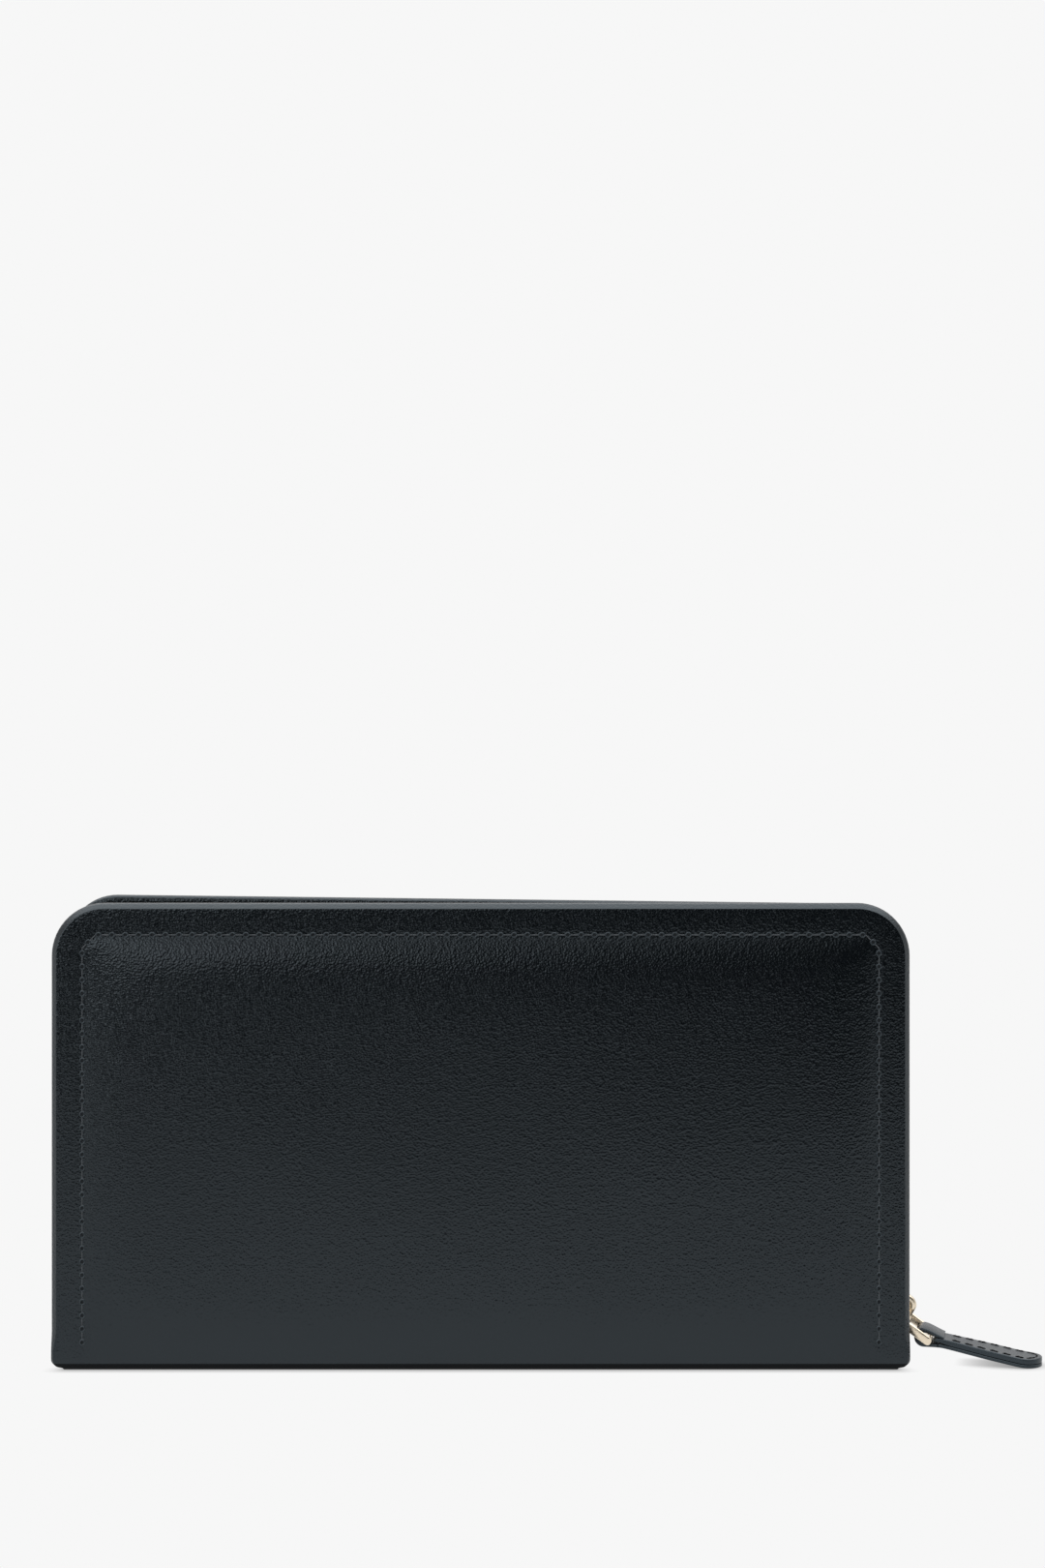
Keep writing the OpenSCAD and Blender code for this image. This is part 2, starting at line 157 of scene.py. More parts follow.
class Soup:
    """Points in millimetres and faces, gathered before they become one piece."""

    def __init__(self):
        self.points = []
        self.faces = []
        self.kinds = []
        self.uvs = []

    def add(self, points, faces, kind=0, uvs=None):
        base = len(self.points)
        self.points += [tuple(p) for p in points]
        self.uvs += uvs if uvs else [(0.0, 0.0)] * len(points)
        self.faces += [tuple(base + i for i in face) for face in faces]
        self.kinds += [kind] * len(faces)

    def grid(self, rows, kind=0, uvs=None, wrap=False):
        """A sheet of quads through rows of points. With wrap, each row closes on itself."""
        width = len(rows[0])
        faces = []
        for r in range(len(rows) - 1):
            for c in range(width if wrap else width - 1):
                n = (c + 1) % width
                faces.append((r * width + c, r * width + n, (r + 1) * width + n, (r + 1) * width + c))
        flat = [p for row in rows for p in row]
        self.add(flat, faces, kind, [t for row in uvs for t in row] if uvs else None)

    def piece(self, name, materials, merge=0.0):
        """A smooth object made of what was gathered. Points closer than merge become one."""
        mesh = bpy.data.meshes.new(name)
        mesh.from_pydata([tuple(c * MM for c in p) for p in self.points], [], self.faces)
        layer = mesh.uv_layers.new(name="UVMap")
        for loop in mesh.loops:
            layer.data[loop.index].uv = self.uvs[loop.vertex_index]
        for polygon, kind in zip(mesh.polygons, self.kinds):
            polygon.material_index = kind
        work = bmesh.new()
        work.from_mesh(mesh)
        if merge:
            bmesh.ops.remove_doubles(work, verts=work.verts, dist=merge * MM)
            bmesh.ops.dissolve_degenerate(work, edges=work.edges, dist=merge * MM * 0.1)
        bmesh.ops.recalc_face_normals(work, faces=work.faces)
        for face in work.faces:
            face.smooth = True
        work.to_mesh(mesh)
        work.free()
        made = bpy.data.objects.new(name, mesh)
        bpy.context.scene.collection.objects.link(made)
        for material in materials:
            mesh.materials.append(material)
        return made


# ---- Materials

class Nodes:
    """A material's node tree, with short calls that add a node and link it."""

    def __init__(self, name, color, roughness, metallic=0.0):
        self.material = bpy.data.materials.new(name)
        self.material.use_nodes = True
        self.tree = self.material.node_tree
        self.shader = self.tree.nodes["Principled BSDF"]
        self.shader.inputs["Base Color"].default_value = (*color, 1)
        self.shader.inputs["Roughness"].default_value = roughness
        self.shader.inputs["Metallic"].default_value = metallic
        self.normal = None

    def add(self, kind, **values):
        made = self.tree.nodes.new(kind)
        for key, value in values.items():
            setattr(made, key, value)
        return made

    def link(self, a, b):
        self.tree.links.new(a, b)

    def place(self, scale, coordinates="Object"):
        source = self.add("ShaderNodeTexCoord")
        mapping = self.add("ShaderNodeMapping")
        mapping.inputs["Scale"].default_value = scale if hasattr(scale, "__len__") else (scale,) * 3
        self.link(source.outputs[coordinates], mapping.inputs["Vector"])
        return mapping.outputs["Vector"]

    def noise(self, scale, detail=2.0, coordinates="Object"):
        made = self.add("ShaderNodeTexNoise")
        made.inputs["Scale"].default_value = 1.0
        made.inputs["Detail"].default_value = detail
        self.link(self.place(scale, coordinates), made.inputs["Vector"])
        return made.outputs["Fac"]

    def cells(self, scale):
        made = self.add("ShaderNodeTexVoronoi")
        made.inputs["Scale"].default_value = 1.0
        self.link(self.place(scale), made.inputs["Vector"])
        return made.outputs["Distance"]

    def remap(self, value, low, high, from_low=0.3, from_high=0.7):
        made = self.add("ShaderNodeMapRange")
        made.inputs["From Min"].default_value = from_low
        made.inputs["From Max"].default_value = from_high
        made.inputs["To Min"].default_value = low
        made.inputs["To Max"].default_value = high
        self.link(value, made.inputs["Value"])
        return made.outputs["Result"]

    def tint(self, value, dark, light):
        ramp = self.add("ShaderNodeValToRGB")
        ramp.color_ramp.elements[0].position = 0.3
        ramp.color_ramp.elements[0].color = (*dark, 1)
        ramp.color_ramp.elements[1].position = 0.7
        ramp.color_ramp.elements[1].color = (*light, 1)
        self.link(value, ramp.inputs["Fac"])
        self.link(ramp.outputs["Color"], self.shader.inputs["Base Color"])

    def bump(self, height, strength, depth):
        """Adds a bump of depth millimetres on top of those already there."""
        made = self.add("ShaderNodeBump")
        made.inputs["Strength"].default_value = strength
        made.inputs["Distance"].default_value = depth * MM
        self.link(height, made.inputs["Height"])
        if self.normal:
            self.link(self.normal, made.inputs["Normal"])
        self.normal = made.outputs["Normal"]
        self.link(self.normal, self.shader.inputs["Normal"])

    def product(self, a, b):
        made = self.add("ShaderNodeMath", operation="MULTIPLY")
        self.link(a, made.inputs[0])
        self.link(b, made.inputs[1])
        return made.outputs["Value"]


def leather(name, color, roughness, grain, depth):
    """Dyed leather: cells of grain, broader creases, cloudy colour and uneven gloss."""
    made = Nodes(name, color, roughness)
    made.tint(made.noise(90, 3), [c * 0.9 for c in color], [c * 1.1 for c in color])
    made.link(made.remap(made.noise(1.1 / (grain * MM), 3), roughness - 0.04, roughness + 0.05),
              made.shader.inputs["Roughness"])
    made.shader.inputs["IOR"].default_value = 1.5
    made.shader.inputs["Specular Tint"].default_value = (0.78, 0.91, 1.0, 1)
    made.bump(made.cells(1 / (grain * MM)), 1.0, depth)
    made.bump(made.noise(0.5 / (grain * MM), 3), 1.0, depth * 1.3)
    return made.material


def gold(name, color, roughness):
    """Plated metal with fine rubbing marks and slightly worn gloss."""
    made = Nodes(name, color, roughness, 1.0)
    made.tint(made.noise(180, 3), [c * 0.93 for c in color], color)
    rubbed = made.noise((700, 700, 5200), 3)
    made.link(made.remap(rubbed, roughness - 0.04, roughness + 0.1), made.shader.inputs["Roughness"])
    made.bump(rubbed, 0.25, 0.012)
    return made.material


def woven(name, color, pitch, depth):
    """Cloth whose threads cross, from the sheet's own UV in millimetres."""
    made = Nodes(name, color, 0.8)
    made.tint(made.noise(0.7, 3, "UV"), [c * 0.75 for c in color], [c * 1.3 for c in color])
    threads = []
    for axis in ("X", "Y"):
        wave = made.add("ShaderNodeTexWave", bands_direction=axis)
        wave.inputs["Scale"].default_value = 1.0
        wave.inputs["Distortion"].default_value = 0.6
        made.link(made.place(math.pi / (10 * pitch), "UV"), wave.inputs["Vector"])
        threads.append(wave.outputs["Fac"])
    made.bump(made.product(*threads), 0.8, depth)
    made.shader.inputs["Sheen Weight"].default_value = 0.2
    return made.material


def thread(name, color, roughness=0.5, specular=0.5):
    """A matt surface of fine fibres, for thread and for the dark matt strip of painted shade along the
    leather's foot.
    """
    made = Nodes(name, color, roughness)
    made.shader.inputs["Specular IOR Level"].default_value = specular
    fibre = made.noise((3000, 3000, 3000), 4)
    made.tint(fibre, [c * 0.7 for c in color], [c * 1.25 for c in color])
    made.bump(fibre, 0.5, 0.03)
    return made.material


def board_fibre(name, color):
    made = Nodes(name, color, 0.85)
    fibre = made.noise((400, 400, 2500), 5)
    made.tint(fibre, [c * 0.8 for c in color], [c * 1.1 for c in color])
    made.bump(fibre, 0.4, 0.05)
    return made.material


def foam_felt(name, color):
    made = Nodes(name, color, 0.95)
    cells = made.cells(1800)
    made.tint(cells, [c * 0.7 for c in color], color)
    made.bump(cells, 0.6, 0.1)
    return made.material


OUTER = leather("outer_leather", (0.0022, 0.0032, 0.0042), 0.18, 0.5, 0.05)
STRAP = leather("strap_leather", (0.010, 0.0135, 0.017), 0.36, 0.34, 0.008)
INNER = leather("inner_leather", (0.009, 0.0105, 0.012), 0.42, 0.45, 0.009)
EDGE = leather("edge_paint", (0.012, 0.017, 0.021), 0.3, 0.9, 0.005)
# A lighter, glossier leather for the holes' lips: painted highlight where light catches the lip
LIT_LIP = leather("painted_lit_lip_leather", (0.016, 0.021, 0.025), 0.2, 0.6, 0.002)
# A near-black matt disc in each hole: painted shade standing in for the hole's depth
HOLE_SHADE = leather("painted_hole_shade", (0.0015, 0.0015, 0.002), 0.9, 0.5, 0.002)
# A dark matt leather for the foot's lowest strip: painted shade where the cover meets the floor
FOOT_SHADE = thread("painted_foot_shade_leather", (0.003, 0.004, 0.005), 0.6, 0.12)
THREAD = thread("stitching", (0.040, 0.048, 0.055))
DARK_THREAD = thread("strap_thread", (0.002, 0.0025, 0.003), 0.9, 0.15)
LINING = woven("lining", (0.020, 0.022, 0.024), 0.28, 0.06)
TAPE = woven("zip_tape", (0.012, 0.013, 0.0145), 0.42, 0.14)
PALE_GOLD = gold("pale_gold_metal", (0.85, 0.74, 0.58), 0.2)
ZIP_METAL = gold("zip_metal", (0.74, 0.62, 0.44), 0.27)
BOARD = board_fibre("board", (0.030, 0.030, 0.030))
FOAM = foam_felt("foam", (0.22, 0.22, 0.22))


# ---- Camera, light and floor

def make_camera():
    """Square to the front face, a little above the top edge."""
    data = bpy.data.cameras.new("camera")
    data.lens = CAMERA_LENS
    data.sensor_width = CAMERA_SENSOR
    data.clip_start = 0.01
    camera = bpy.data.objects.new("camera", data)
    camera.location = [c * MM for c in CAMERA_PLACE]
    camera.rotation_euler = (math.pi / 2, 0, 0)
    bpy.context.scene.collection.objects.link(camera)
    bpy.context.scene.camera = camera


def make_world():
    """A white studio that glossy surfaces see as a dark room with a sweep behind and soft boxes above."""
    world = bpy.data.worlds.new("studio")
    bpy.context.scene.world = world
    world.use_nodes = True
    tree = world.node_tree
    tree.nodes.clear()
    link = tree.links.new

    def calculate(operation, a, b=0.0):
        made = tree.nodes.new("ShaderNodeMath")
        made.operation = operation
        for socket, value in zip(made.inputs, (a, b)):
            if isinstance(value, (int, float)):
                socket.default_value = value
            else:
                link(value, socket)
        return made.outputs["Value"]

    def rise(value, start, end, level=1.0):
        made = tree.nodes.new("ShaderNodeMapRange")
        made.interpolation_type = "SMOOTHSTEP"
        made.inputs["From Min"].default_value = start
        made.inputs["From Max"].default_value = end
        made.inputs["To Max"].default_value = level
        link(value, made.inputs["Value"])
        return made.outputs["Result"]

    source = tree.nodes.new("ShaderNodeTexCoord")
    split = tree.nodes.new("ShaderNodeSeparateXYZ")
    link(source.outputs["Generated"], split.inputs["Vector"])
    x, y, z = split.outputs
    overhead = rise(z, 0.35, 0.95, SKY_LEVEL)
    behind = rise(y, 0.1, 0.6, ROOM_LEVEL)
    sides = calculate("MULTIPLY", calculate("POWER", calculate("ABSOLUTE", x), 4.0), SIDE_LEVEL)
    band = calculate("MULTIPLY", rise(z, 0.03, 0.15), calculate("SUBTRACT", 1.0, rise(z, 0.3, 0.5)))
    leaning = calculate("MULTIPLY", calculate("SUBTRACT", 1.0, rise(x, -0.34, 0.1)), KEY_LEVEL)
    facing = calculate("SUBTRACT", 1.0, rise(y, -0.4, 0.0))
    key = calculate("MULTIPLY", calculate("MULTIPLY", band, leaning), facing)
    glossy = calculate("MAXIMUM", calculate("ADD", calculate("ADD", overhead, sides), key), behind)
    path = tree.nodes.new("ShaderNodeLightPath")
    other = calculate("SUBTRACT", 1.0, path.outputs["Is Glossy Ray"])
    level = calculate("ADD", calculate("MULTIPLY", path.outputs["Is Glossy Ray"], glossy),
                      calculate("MULTIPLY", other, ROOM_LEVEL))
    background = tree.nodes.new("ShaderNodeBackground")
    background.inputs["Color"].default_value = (1, 1, 1, 1)
    link(level, background.inputs["Strength"])
    output = tree.nodes.new("ShaderNodeOutputWorld")
    link(background.outputs["Background"], output.inputs["Surface"])
    bpy.context.scene.view_settings.view_transform = "Standard"


def make_floor():
    """A pale floor that glows evenly and darkens only where something stands close to it."""
    soup = Soup()
    near, far, side = -470, 2600, 2600
    soup.grid([[(x, y, 0) for x in spread(-side, side, 400)] for y in spread(near, far, 400)])
    made = Nodes("floor", (0.93, 0.93, 0.93), 1.0)
    shade = made.add("ShaderNodeAmbientOcclusion", samples=16)
    shade.inputs["Distance"].default_value = FLOOR_SHADE_D * MM
    emission = made.add("ShaderNodeEmission")
    made.link(made.remap(shade.outputs["AO"], 0.3, 0.93, 0.0, 0.97), emission.inputs["Strength"])
    made.link(emission.outputs["Emission"], made.tree.nodes["Material Output"].inputs["Surface"])
    floor = soup.piece("floor", [made.material])


# ---- Outer leather

def foot_fade(z):
    """1 where the leather has its full turned edge, and 0 where it bends under the spine."""
    return smooth(4, 9, z)


def half_width(z):
    """The cover's half width at a height. Below 0 the height is measured round the foot bend."""
    if z >= FOOT_CORNER_R:
        return HALF_W
    return HALF_W - FOOT_CORNER_R + math.sqrt(FOOT_CORNER_R ** 2 - (FOOT_CORNER_R - max(z, 0)) ** 2)


def wrapped(x, z, depth):
    """A point of the leather, depth inside its outer face, with the foot bent under the spine."""
    if z >= FOOT_BEND_H:
        return (x, depth - OUT_Y, z)
    run = FOOT_BEND_H - z
    turn = min(run / FOOT_BEND_H, math.pi / 2)
    past = max(0.0, run - FOOT_BEND_H * math.pi / 2)
    y = FOOT_BEND_D - OUT_Y - (FOOT_BEND_D - depth) * math.cos(turn) + past
    return (x, y, FOOT_BEND_H - (FOOT_BEND_H - depth) * math.sin(turn))


FLAT_FOOT = FOOT_BEND_H - FOOT_BEND_H * math.pi / 2 - (OUT_Y - FOOT_BEND_D)


def edge_distance(x, z):
    """How far a point of the face is inside the left, top and right edges."""
    dx = abs(x) - ARC_X
    dz = z - ARC_Z
    if dx > 0 and dz > 0:
        return CORNER_R - math.hypot(dx, dz)
    return CORNER_R - max(dx, dz)


def simulated_pad():
    """Heights of a cloth held along the stitching and blown up from behind, as rows of numbers up to 1."""
    scale = 0.01
    step = 2.5
    frames = 20
    xs = spread(PAD_FROM - HALF_W, HALF_W - PAD_FROM, step)
    zs = spread(PAD_FOOT, TOP - PAD_FROM, step)
    mesh = bpy.data.meshes.new("pad_cloth")
    width = len(xs)
    faces = [(r * width + c, r * width + c + 1, (r + 1) * width + c + 1, (r + 1) * width + c)
             for r in range(len(zs) - 1) for c in range(width - 1)]
    mesh.from_pydata([(x * scale, z * scale, 0) for z in zs for x in xs], [], faces)
    cloth = bpy.data.objects.new("pad_cloth", mesh)
    bpy.context.scene.collection.objects.link(cloth)
    held = cloth.vertex_groups.new(name="held")
    held.add([r * width + c for r, z in enumerate(zs) for c, x in enumerate(xs)
              if r in (0, len(zs) - 1) or c in (0, width - 1) or edge_distance(x, z) < PAD_FROM + 0.6],
             1.0, "ADD")
    modifier = cloth.modifiers.new("Cloth", "CLOTH")
    modifier.settings.quality = 6
    modifier.settings.vertex_group_mass = "held"
    modifier.settings.use_pressure = True
    modifier.settings.uniform_pressure_force = 4
    modifier.settings.effector_weights.gravity = 0
    modifier.point_cache.frame_end = frames
    for number in range(1, frames + 1):
        bpy.context.scene.frame_set(number)
    shown = cloth.evaluated_get(bpy.context.evaluated_depsgraph_get())
    heights = [abs(v.co.z) for v in shown.data.vertices]
    bpy.context.scene.frame_set(1)
    bpy.data.objects.remove(cloth)
    bpy.data.meshes.remove(mesh)
    top = max(heights)
    if top < 1e-4:
        return None
    return xs, zs, [[heights[r * width + c] / top for c in range(width)] for r in range(len(zs))]


PAD = simulated_pad()


def pad_shape(x, z):
    """The padding's rise, from 0 at the stitching to 1 where the cover is fullest."""
    if PAD is None:
        inside = edge_distance(x, z) - PAD_FROM
        return math.tanh(max(0.0, inside) / 7) * smooth(PAD_FOOT, PAD_FOOT + 12, z)
    xs, zs, heights = PAD
    fx = (x - xs[0]) / (xs[1] - xs[0])
    fz = (z - zs[0]) / (zs[1] - zs[0])
    if not (0 <= fx <= len(xs) - 1 and 0 <= fz <= len(zs) - 1):
        return 0.0
    c = min(int(fx), len(xs) - 2)
    r = min(int(fz), len(zs) - 2)
    fx -= c
    fz -= r
    low = heights[r][c] * (1 - fx) + heights[r][c + 1] * fx
    high = heights[r + 1][c] * (1 - fx) + heights[r + 1][c + 1] * fx
    return math.tanh(PAD_TIGHT * (low * (1 - fz) + high * fz)) / math.tanh(PAD_TIGHT)


def face_depth(x, z, inset, seed):
    """How far the face lies inside its flat plane. It is negative where the padding stands out."""
    fade = foot_fade(z)
    swell = -0.03 * math.sin(math.pi * min(1, max(0, inset - EDGE_R) / (STITCH_INSET - EDGE_R)))
    valley = 0.045 * math.exp(-((inset - STITCH_INSET - 0.2) / 0.8) ** 2)
    rise = pad_shape(x, z)
    uneven = 0.2 * noise.noise(Vector((x / 43, z / 34, seed)))
    return fade * (swell + valley) - PAD_RISE * rise - uneven * min(1, rise * 1.4)


def profile(z):
    """The leather's section at one height, from the face to the inside, as (inset, depth, is outer face)."""
    fade = foot_fade(z)
    r = FOOT_EDGE_R + (EDGE_R - FOOT_EDGE_R) * fade
    hem_top = 2 * r
    hem_foot = max(hem_top - HEM_T, LEATHER_T + 0.02)
    hem_end = HEM_FOOT_W + (HEM_W - HEM_FOOT_W) * fade
    lining_from = min(1.9, hem_end - 0.2)
    points = [(d, 0, True) for d in FACE_INSETS]
    points += [(r * a, r * b, False) for a, b in EDGE_SHAPE]
    points += [(r + (hem_end - r) * t, hem_top, False) for t in (0.1, 0.3, 0.6, 0.9, 0.97)]
    points += [(hem_end, hem_top - 0.12, False), (hem_end, hem_foot + 0.1, False)]
    points += [(hem_end - 0.15, hem_foot, False), (lining_from, hem_foot, False)]
    points += [(d, LEATHER_T, False) for d in (lining_from, 5, 9, 12)]
    return points


def stations():
    """Places round the left, top and right sides: (height, point at an inset)."""
    side_z = spread(FLAT_FOOT, 0, 1.5)[:-1] + spread(0, FOOT_BEND_H, 0.4)[:-1]
    side_z += spread(FOOT_BEND_H, ARC_Z, GRID_STEP)
    xs = spread(-ARC_X, ARC_X, GRID_STEP)
    arc = spread(0, math.pi / 2, math.radians(6))[1:-1]

    def on_arc(hand, a):
        return lambda d: (hand * (ARC_X + (CORNER_R - d) * math.cos(a)), ARC_Z + (CORNER_R - d) * math.sin(a))

    found = [(z, lambda d, z=z: (d - half_width(z), z)) for z in side_z]
    found += [(ARC_Z, on_arc(-1, a)) for a in arc]
    found += [(TOP, lambda d, x=x: (x, TOP - d)) for x in xs]
    found += [(ARC_Z, on_arc(1, a)) for a in reversed(arc)]
    found += [(z, lambda d, z=z: (half_width(z) - d, z)) for z in reversed(side_z)]
    return found, side_z, xs


def cover_soup(seed):
    """One cover's leather, from its turned edge round to the inside, and half the spine."""
    found, side_z, xs = stations()
    soup = Soup()
    rows = []
    for height, at in found:
        row = []
        for inset, depth, outer in profile(height):
            x, z = at(inset)
            row.append(wrapped(x, z, face_depth(x, z, inset, seed) if outer else depth))
        rows.append(row)
    soup.grid(rows)
    for end in (rows[0], rows[-1]):
        soup.add(end, [tuple(range(len(end)))])
    sheets = []
    for outer in (True, False):
        sheet = []
        for z in side_z:
            squeeze = (half_width(z) - CORNER_R) / ARC_X
            sheet.append([wrapped(x * squeeze, z, face_depth(x * squeeze, z, 12,
                                                             seed) if outer else LEATHER_T)
                          for x in xs])
        soup.grid(sheet)
        sheets.append(sheet)
    soup.grid([sheets[0][0], sheets[1][0]])
    return soup


def rear_side(soup):
    """Turns the front cover's points into the rear one's, which sits slightly askew."""
    def tilted(x, y, z):
        return (x, -y, z - REAR_TILT * x / HALF_W * smooth(6, TOP, z))
    soup.points = [tilted(*p) for p in soup.points]
    return soup


def make_cover(side):
    """A cover's outer leather, which bends where it passes from the spine to the cover."""
    soup = cover_soup(PAD_SEED[side])
    # Faces lowest on the foot take the second, dark matt material: painted shade along the floor contact
    soup.kinds = [int(max(soup.points[i][2] for i in face) < FOOT_SHADE_TO) for face in soup.faces]
    if side == "rear":
        rear_side(soup)
    made = soup.piece(side + "_outer_leather", [OUTER, FOOT_SHADE], merge=0.004)
    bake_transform(made)
    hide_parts(side + "_leather", "spine_leather")


# ---- Stitching

class Line:
    """A path of points, each with the surface's outward direction, read by its length."""

    def __init__(self, points, normals):
        self.points = [Vector(p) for p in points]
        self.normals = [Vector(n).normalized() for n in normals]
        self.along = [0.0]
        for a, b in zip(self.points, self.points[1:]):
            self.along.append(self.along[-1] + (b - a).length)
        self.length = self.along[-1]

    def at(self, s):
        s = min(max(s, 0), self.length)
        low, high = 0, len(self.along) - 1
        while high - low > 1:
            middle = (low + high) // 2
            if self.along[middle] <= s:
                low = middle
            else:
                high = middle
        share = (s - self.along[low]) / max(1e-9, self.along[high] - self.along[low])
        point = self.points[low].lerp(self.points[high], share)
        normal = self.normals[low].lerp(self.normals[high], share).normalized()
        heading = (self.points[high] - self.points[low]).normalized()
        return point, heading, normal


def add_strand(soup, line, start, end, radius, lift, kind=0, steps=12, sides=10):
    """One stitch: two twisted strands that come up out of one hole and go down the next."""
    rows = []
    for i in range(steps + 1):
        t = i / steps
        point, heading, normal = line.at(start + (end - start) * t)
        across = heading.cross(normal)
        centre = point + normal * (lift * (math.sin(math.pi * t) ** 0.55) - radius * 0.9)
        row = []
        for k in range(sides):
            a = 2 * math.pi * k / sides
            r = radius * (1 + 0.16 * math.cos(2 * (a - 5.5 * t)))
            row.append(centre + across * (r * math.cos(a)) + normal * (r * math.sin(a)))
        rows.append(row)
    soup.grid(rows, kind, wrap=True)
    base = len(soup.points)
    soup.faces.append(tuple(range(base - sides, base)))
    first = base - sides * (steps + 1)
    soup.faces.append(tuple(range(first, first + sides)))
    soup.kinds += [kind, kind]


def add_hole(soup, line, s, lit_lip_kind, hole_shade_kind):
    """A pricked hole: a low lip of leather, lighter than the face as painted highlight, round a dark cup
    whose colour is painted shade.
    """
    point, heading, normal = line.at(s)
    across = heading.cross(normal)
    angles = [2 * math.pi * k / HOLE_SIDES for k in range(HOLE_SIDES)]
    rows = []
    for radius, rise in HOLE_SHAPE:
        rows.append([point + heading * (radius * math.cos(a)) + across * (radius * 0.92 * math.sin(a))
                     + normal * rise for a in angles])
    soup.grid(rows[:HOLE_LIP], lit_lip_kind, wrap=True)
    soup.grid(rows[HOLE_LIP - 1:], hole_shade_kind, wrap=True)
    soup.faces.append(tuple(range(len(soup.points) - HOLE_SIDES, len(soup.points))))
    soup.kinds.append(hole_shade_kind)


def stitch_corners():
    """The corners (x, z) of the stitched path, which cuts off the cover's two upper corners."""
    x = HALF_W - STITCH_INSET
    z = TOP - STITCH_INSET
    return [(-x, STITCH_FOOT), (-x, z - STITCH_CUT), (STITCH_CUT - x, z),
            (x - STITCH_CUT, z), (x, z - STITCH_CUT), (x, STITCH_FOOT)]


def cover_stitch_line(seed):
    """The stitched path on the front face."""
    points = eased(stitch_corners(), 1.0)
    placed = [wrapped(x, z, face_depth(x, z, edge_distance(x, z), seed)) for x, z in points]
    return Line(placed, [(0, -1, 0)] * len(placed))


def make_cover_stitches(side):
    """The running stitches round a cover's face, and the holes between them."""
    line = cover_stitch_line(PAD_SEED[side])
    soup = Soup()
    count = round(line.length / STITCH_PITCH)
    pitch = line.length / count
    for i in range(count + 1):
        # Kind 1 is the lip, lighter than the face as painted highlight; kind 2 is the hole's near-black disc
        # as painted shade
        add_hole(soup, line, i * pitch, 1, 2)
        if i < count:
            add_strand(soup, line, i * pitch + STITCH_GAP, (i + 1) * pitch - STITCH_GAP, STRAND_R,
                       STRAND_LIFT)
    if side == "rear":
        rear_side(soup)
    made = soup.piece(side + "_cover_stitching", [THREAD, LIT_LIP, HOLE_SHADE])
    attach(made, side + "_cover")


# ---- Plates and plies: flat or bent slabs with rounded edges

def rounded_rows(low, high, half, low_r, high_r, step):
    """(height, half width) rows of a rectangle with rounded lower and upper corners."""
    rows = []
    for a in spread(0, math.pi / 2, 0.25)[:-1]:
        rows.append((low + low_r * (1 - math.cos(a)), half - low_r + low_r * math.sin(a)))
    rows += [(s, half) for s in spread(low + low_r, high - high_r, step)]
    for a in spread(0, math.pi / 2, 0.25)[1:]:
        rows.append((high - high_r + high_r * math.sin(a), half - high_r + high_r * math.cos(a)))
    return rows


def add_slab(soup, rows, low, high, r, place, columns, kind=0, edge_kind=0):
    """A slab between two levels. rows are (s, half width); place turns (s, w, level) into a point."""
    last = len(rows) - 1
    loop = [(0, c) for c in range(columns)] + [(i, columns) for i in range(last)]
    loop += [(last, columns - c) for c in range(columns)] + [(last - i, 0) for i in range(last)]

    def plan(i, c):
        return Vector((rows[i][0], rows[i][1] * (2 * c / columns - 1)))

    outline = [plan(*p) for p in loop]
    count = len(outline)
    inward = []
    for i in range(count):
        along = outline[(i + 1) % count] - outline[i - 1]
        inward.append(Vector((along.y, -along.x)).normalized())
    centre = sum(outline, Vector((0, 0))) / count
    if sum((centre - outline[i]).dot(inward[i]) for i in range(count)) < 0:
        inward = [-n for n in inward]
    levels = [(r * (1 - math.sin(a)), low + r * (1 - math.cos(a))) for a in spread(0, math.pi / 2, 0.4)]
    levels += [(inset, low + high - level) for inset, level in reversed(levels)]
    rings = [[place(*(outline[i] + inward[i] * inset), level) for i in range(count)] for inset,
             level in levels]
    marks = [[(outline[i].y, outline[i].x) for i in range(count)] for _ in levels]
    soup.grid(rings, edge_kind, marks, wrap=True)
    where = {p: i for i, p in enumerate(loop)}
    for inset, level in (levels[0], levels[-1]):
        sheet, marks = [], []
        for i in range(last + 1):
            left = outline[where[(i, 0)]] + inward[where[(i, 0)]] * inset
            right = outline[where[(i, columns)]] + inward[where[(i, columns)]] * inset
            line = []
            for c in range(columns + 1):
                at = left.lerp(right, c / columns)
                if (i, c) in where:
                    at = outline[where[(i, c)]] + inward[where[(i, c)]] * inset
                line.append(at)
            sheet.append([place(*p, level) for p in line])
            marks.append([(p.y, p.x) for p in line])
        soup.grid(sheet, kind, marks)


# ---- The pull

PIVOT = joint_place("link_lift")
FAR_BAR = joint_place("strap_lift")
ACROSS = -Vector(joints["link_lift"]["axis"]).normalized()
FORWARD = ACROSS.cross(Vector((0, 0, 1))).normalized()


def swept(soup, centres, sections, closed):
    """A bar along centres. sections are (side direction, up direction, half width, half height) there."""
    sides = 16
    rows = []
    for centre, (side, up, half_w, half_h) in zip(centres, sections):
        row = []
        for k in range(sides):
            a = 2 * math.pi * k / sides
            c, s = math.cos(a), math.sin(a)
            row.append(centre + side * (half_w * math.copysign(abs(c) ** 0.55, c))
                       + up * (half_h * math.copysign(abs(s) ** 0.55, s)))
        rows.append(row)
    if closed:
        rows.append(rows[0])
    soup.grid(rows, wrap=True)
    if not closed:
        for row in (rows[0], rows[-1]):
            soup.add(row, [tuple(range(sides))])


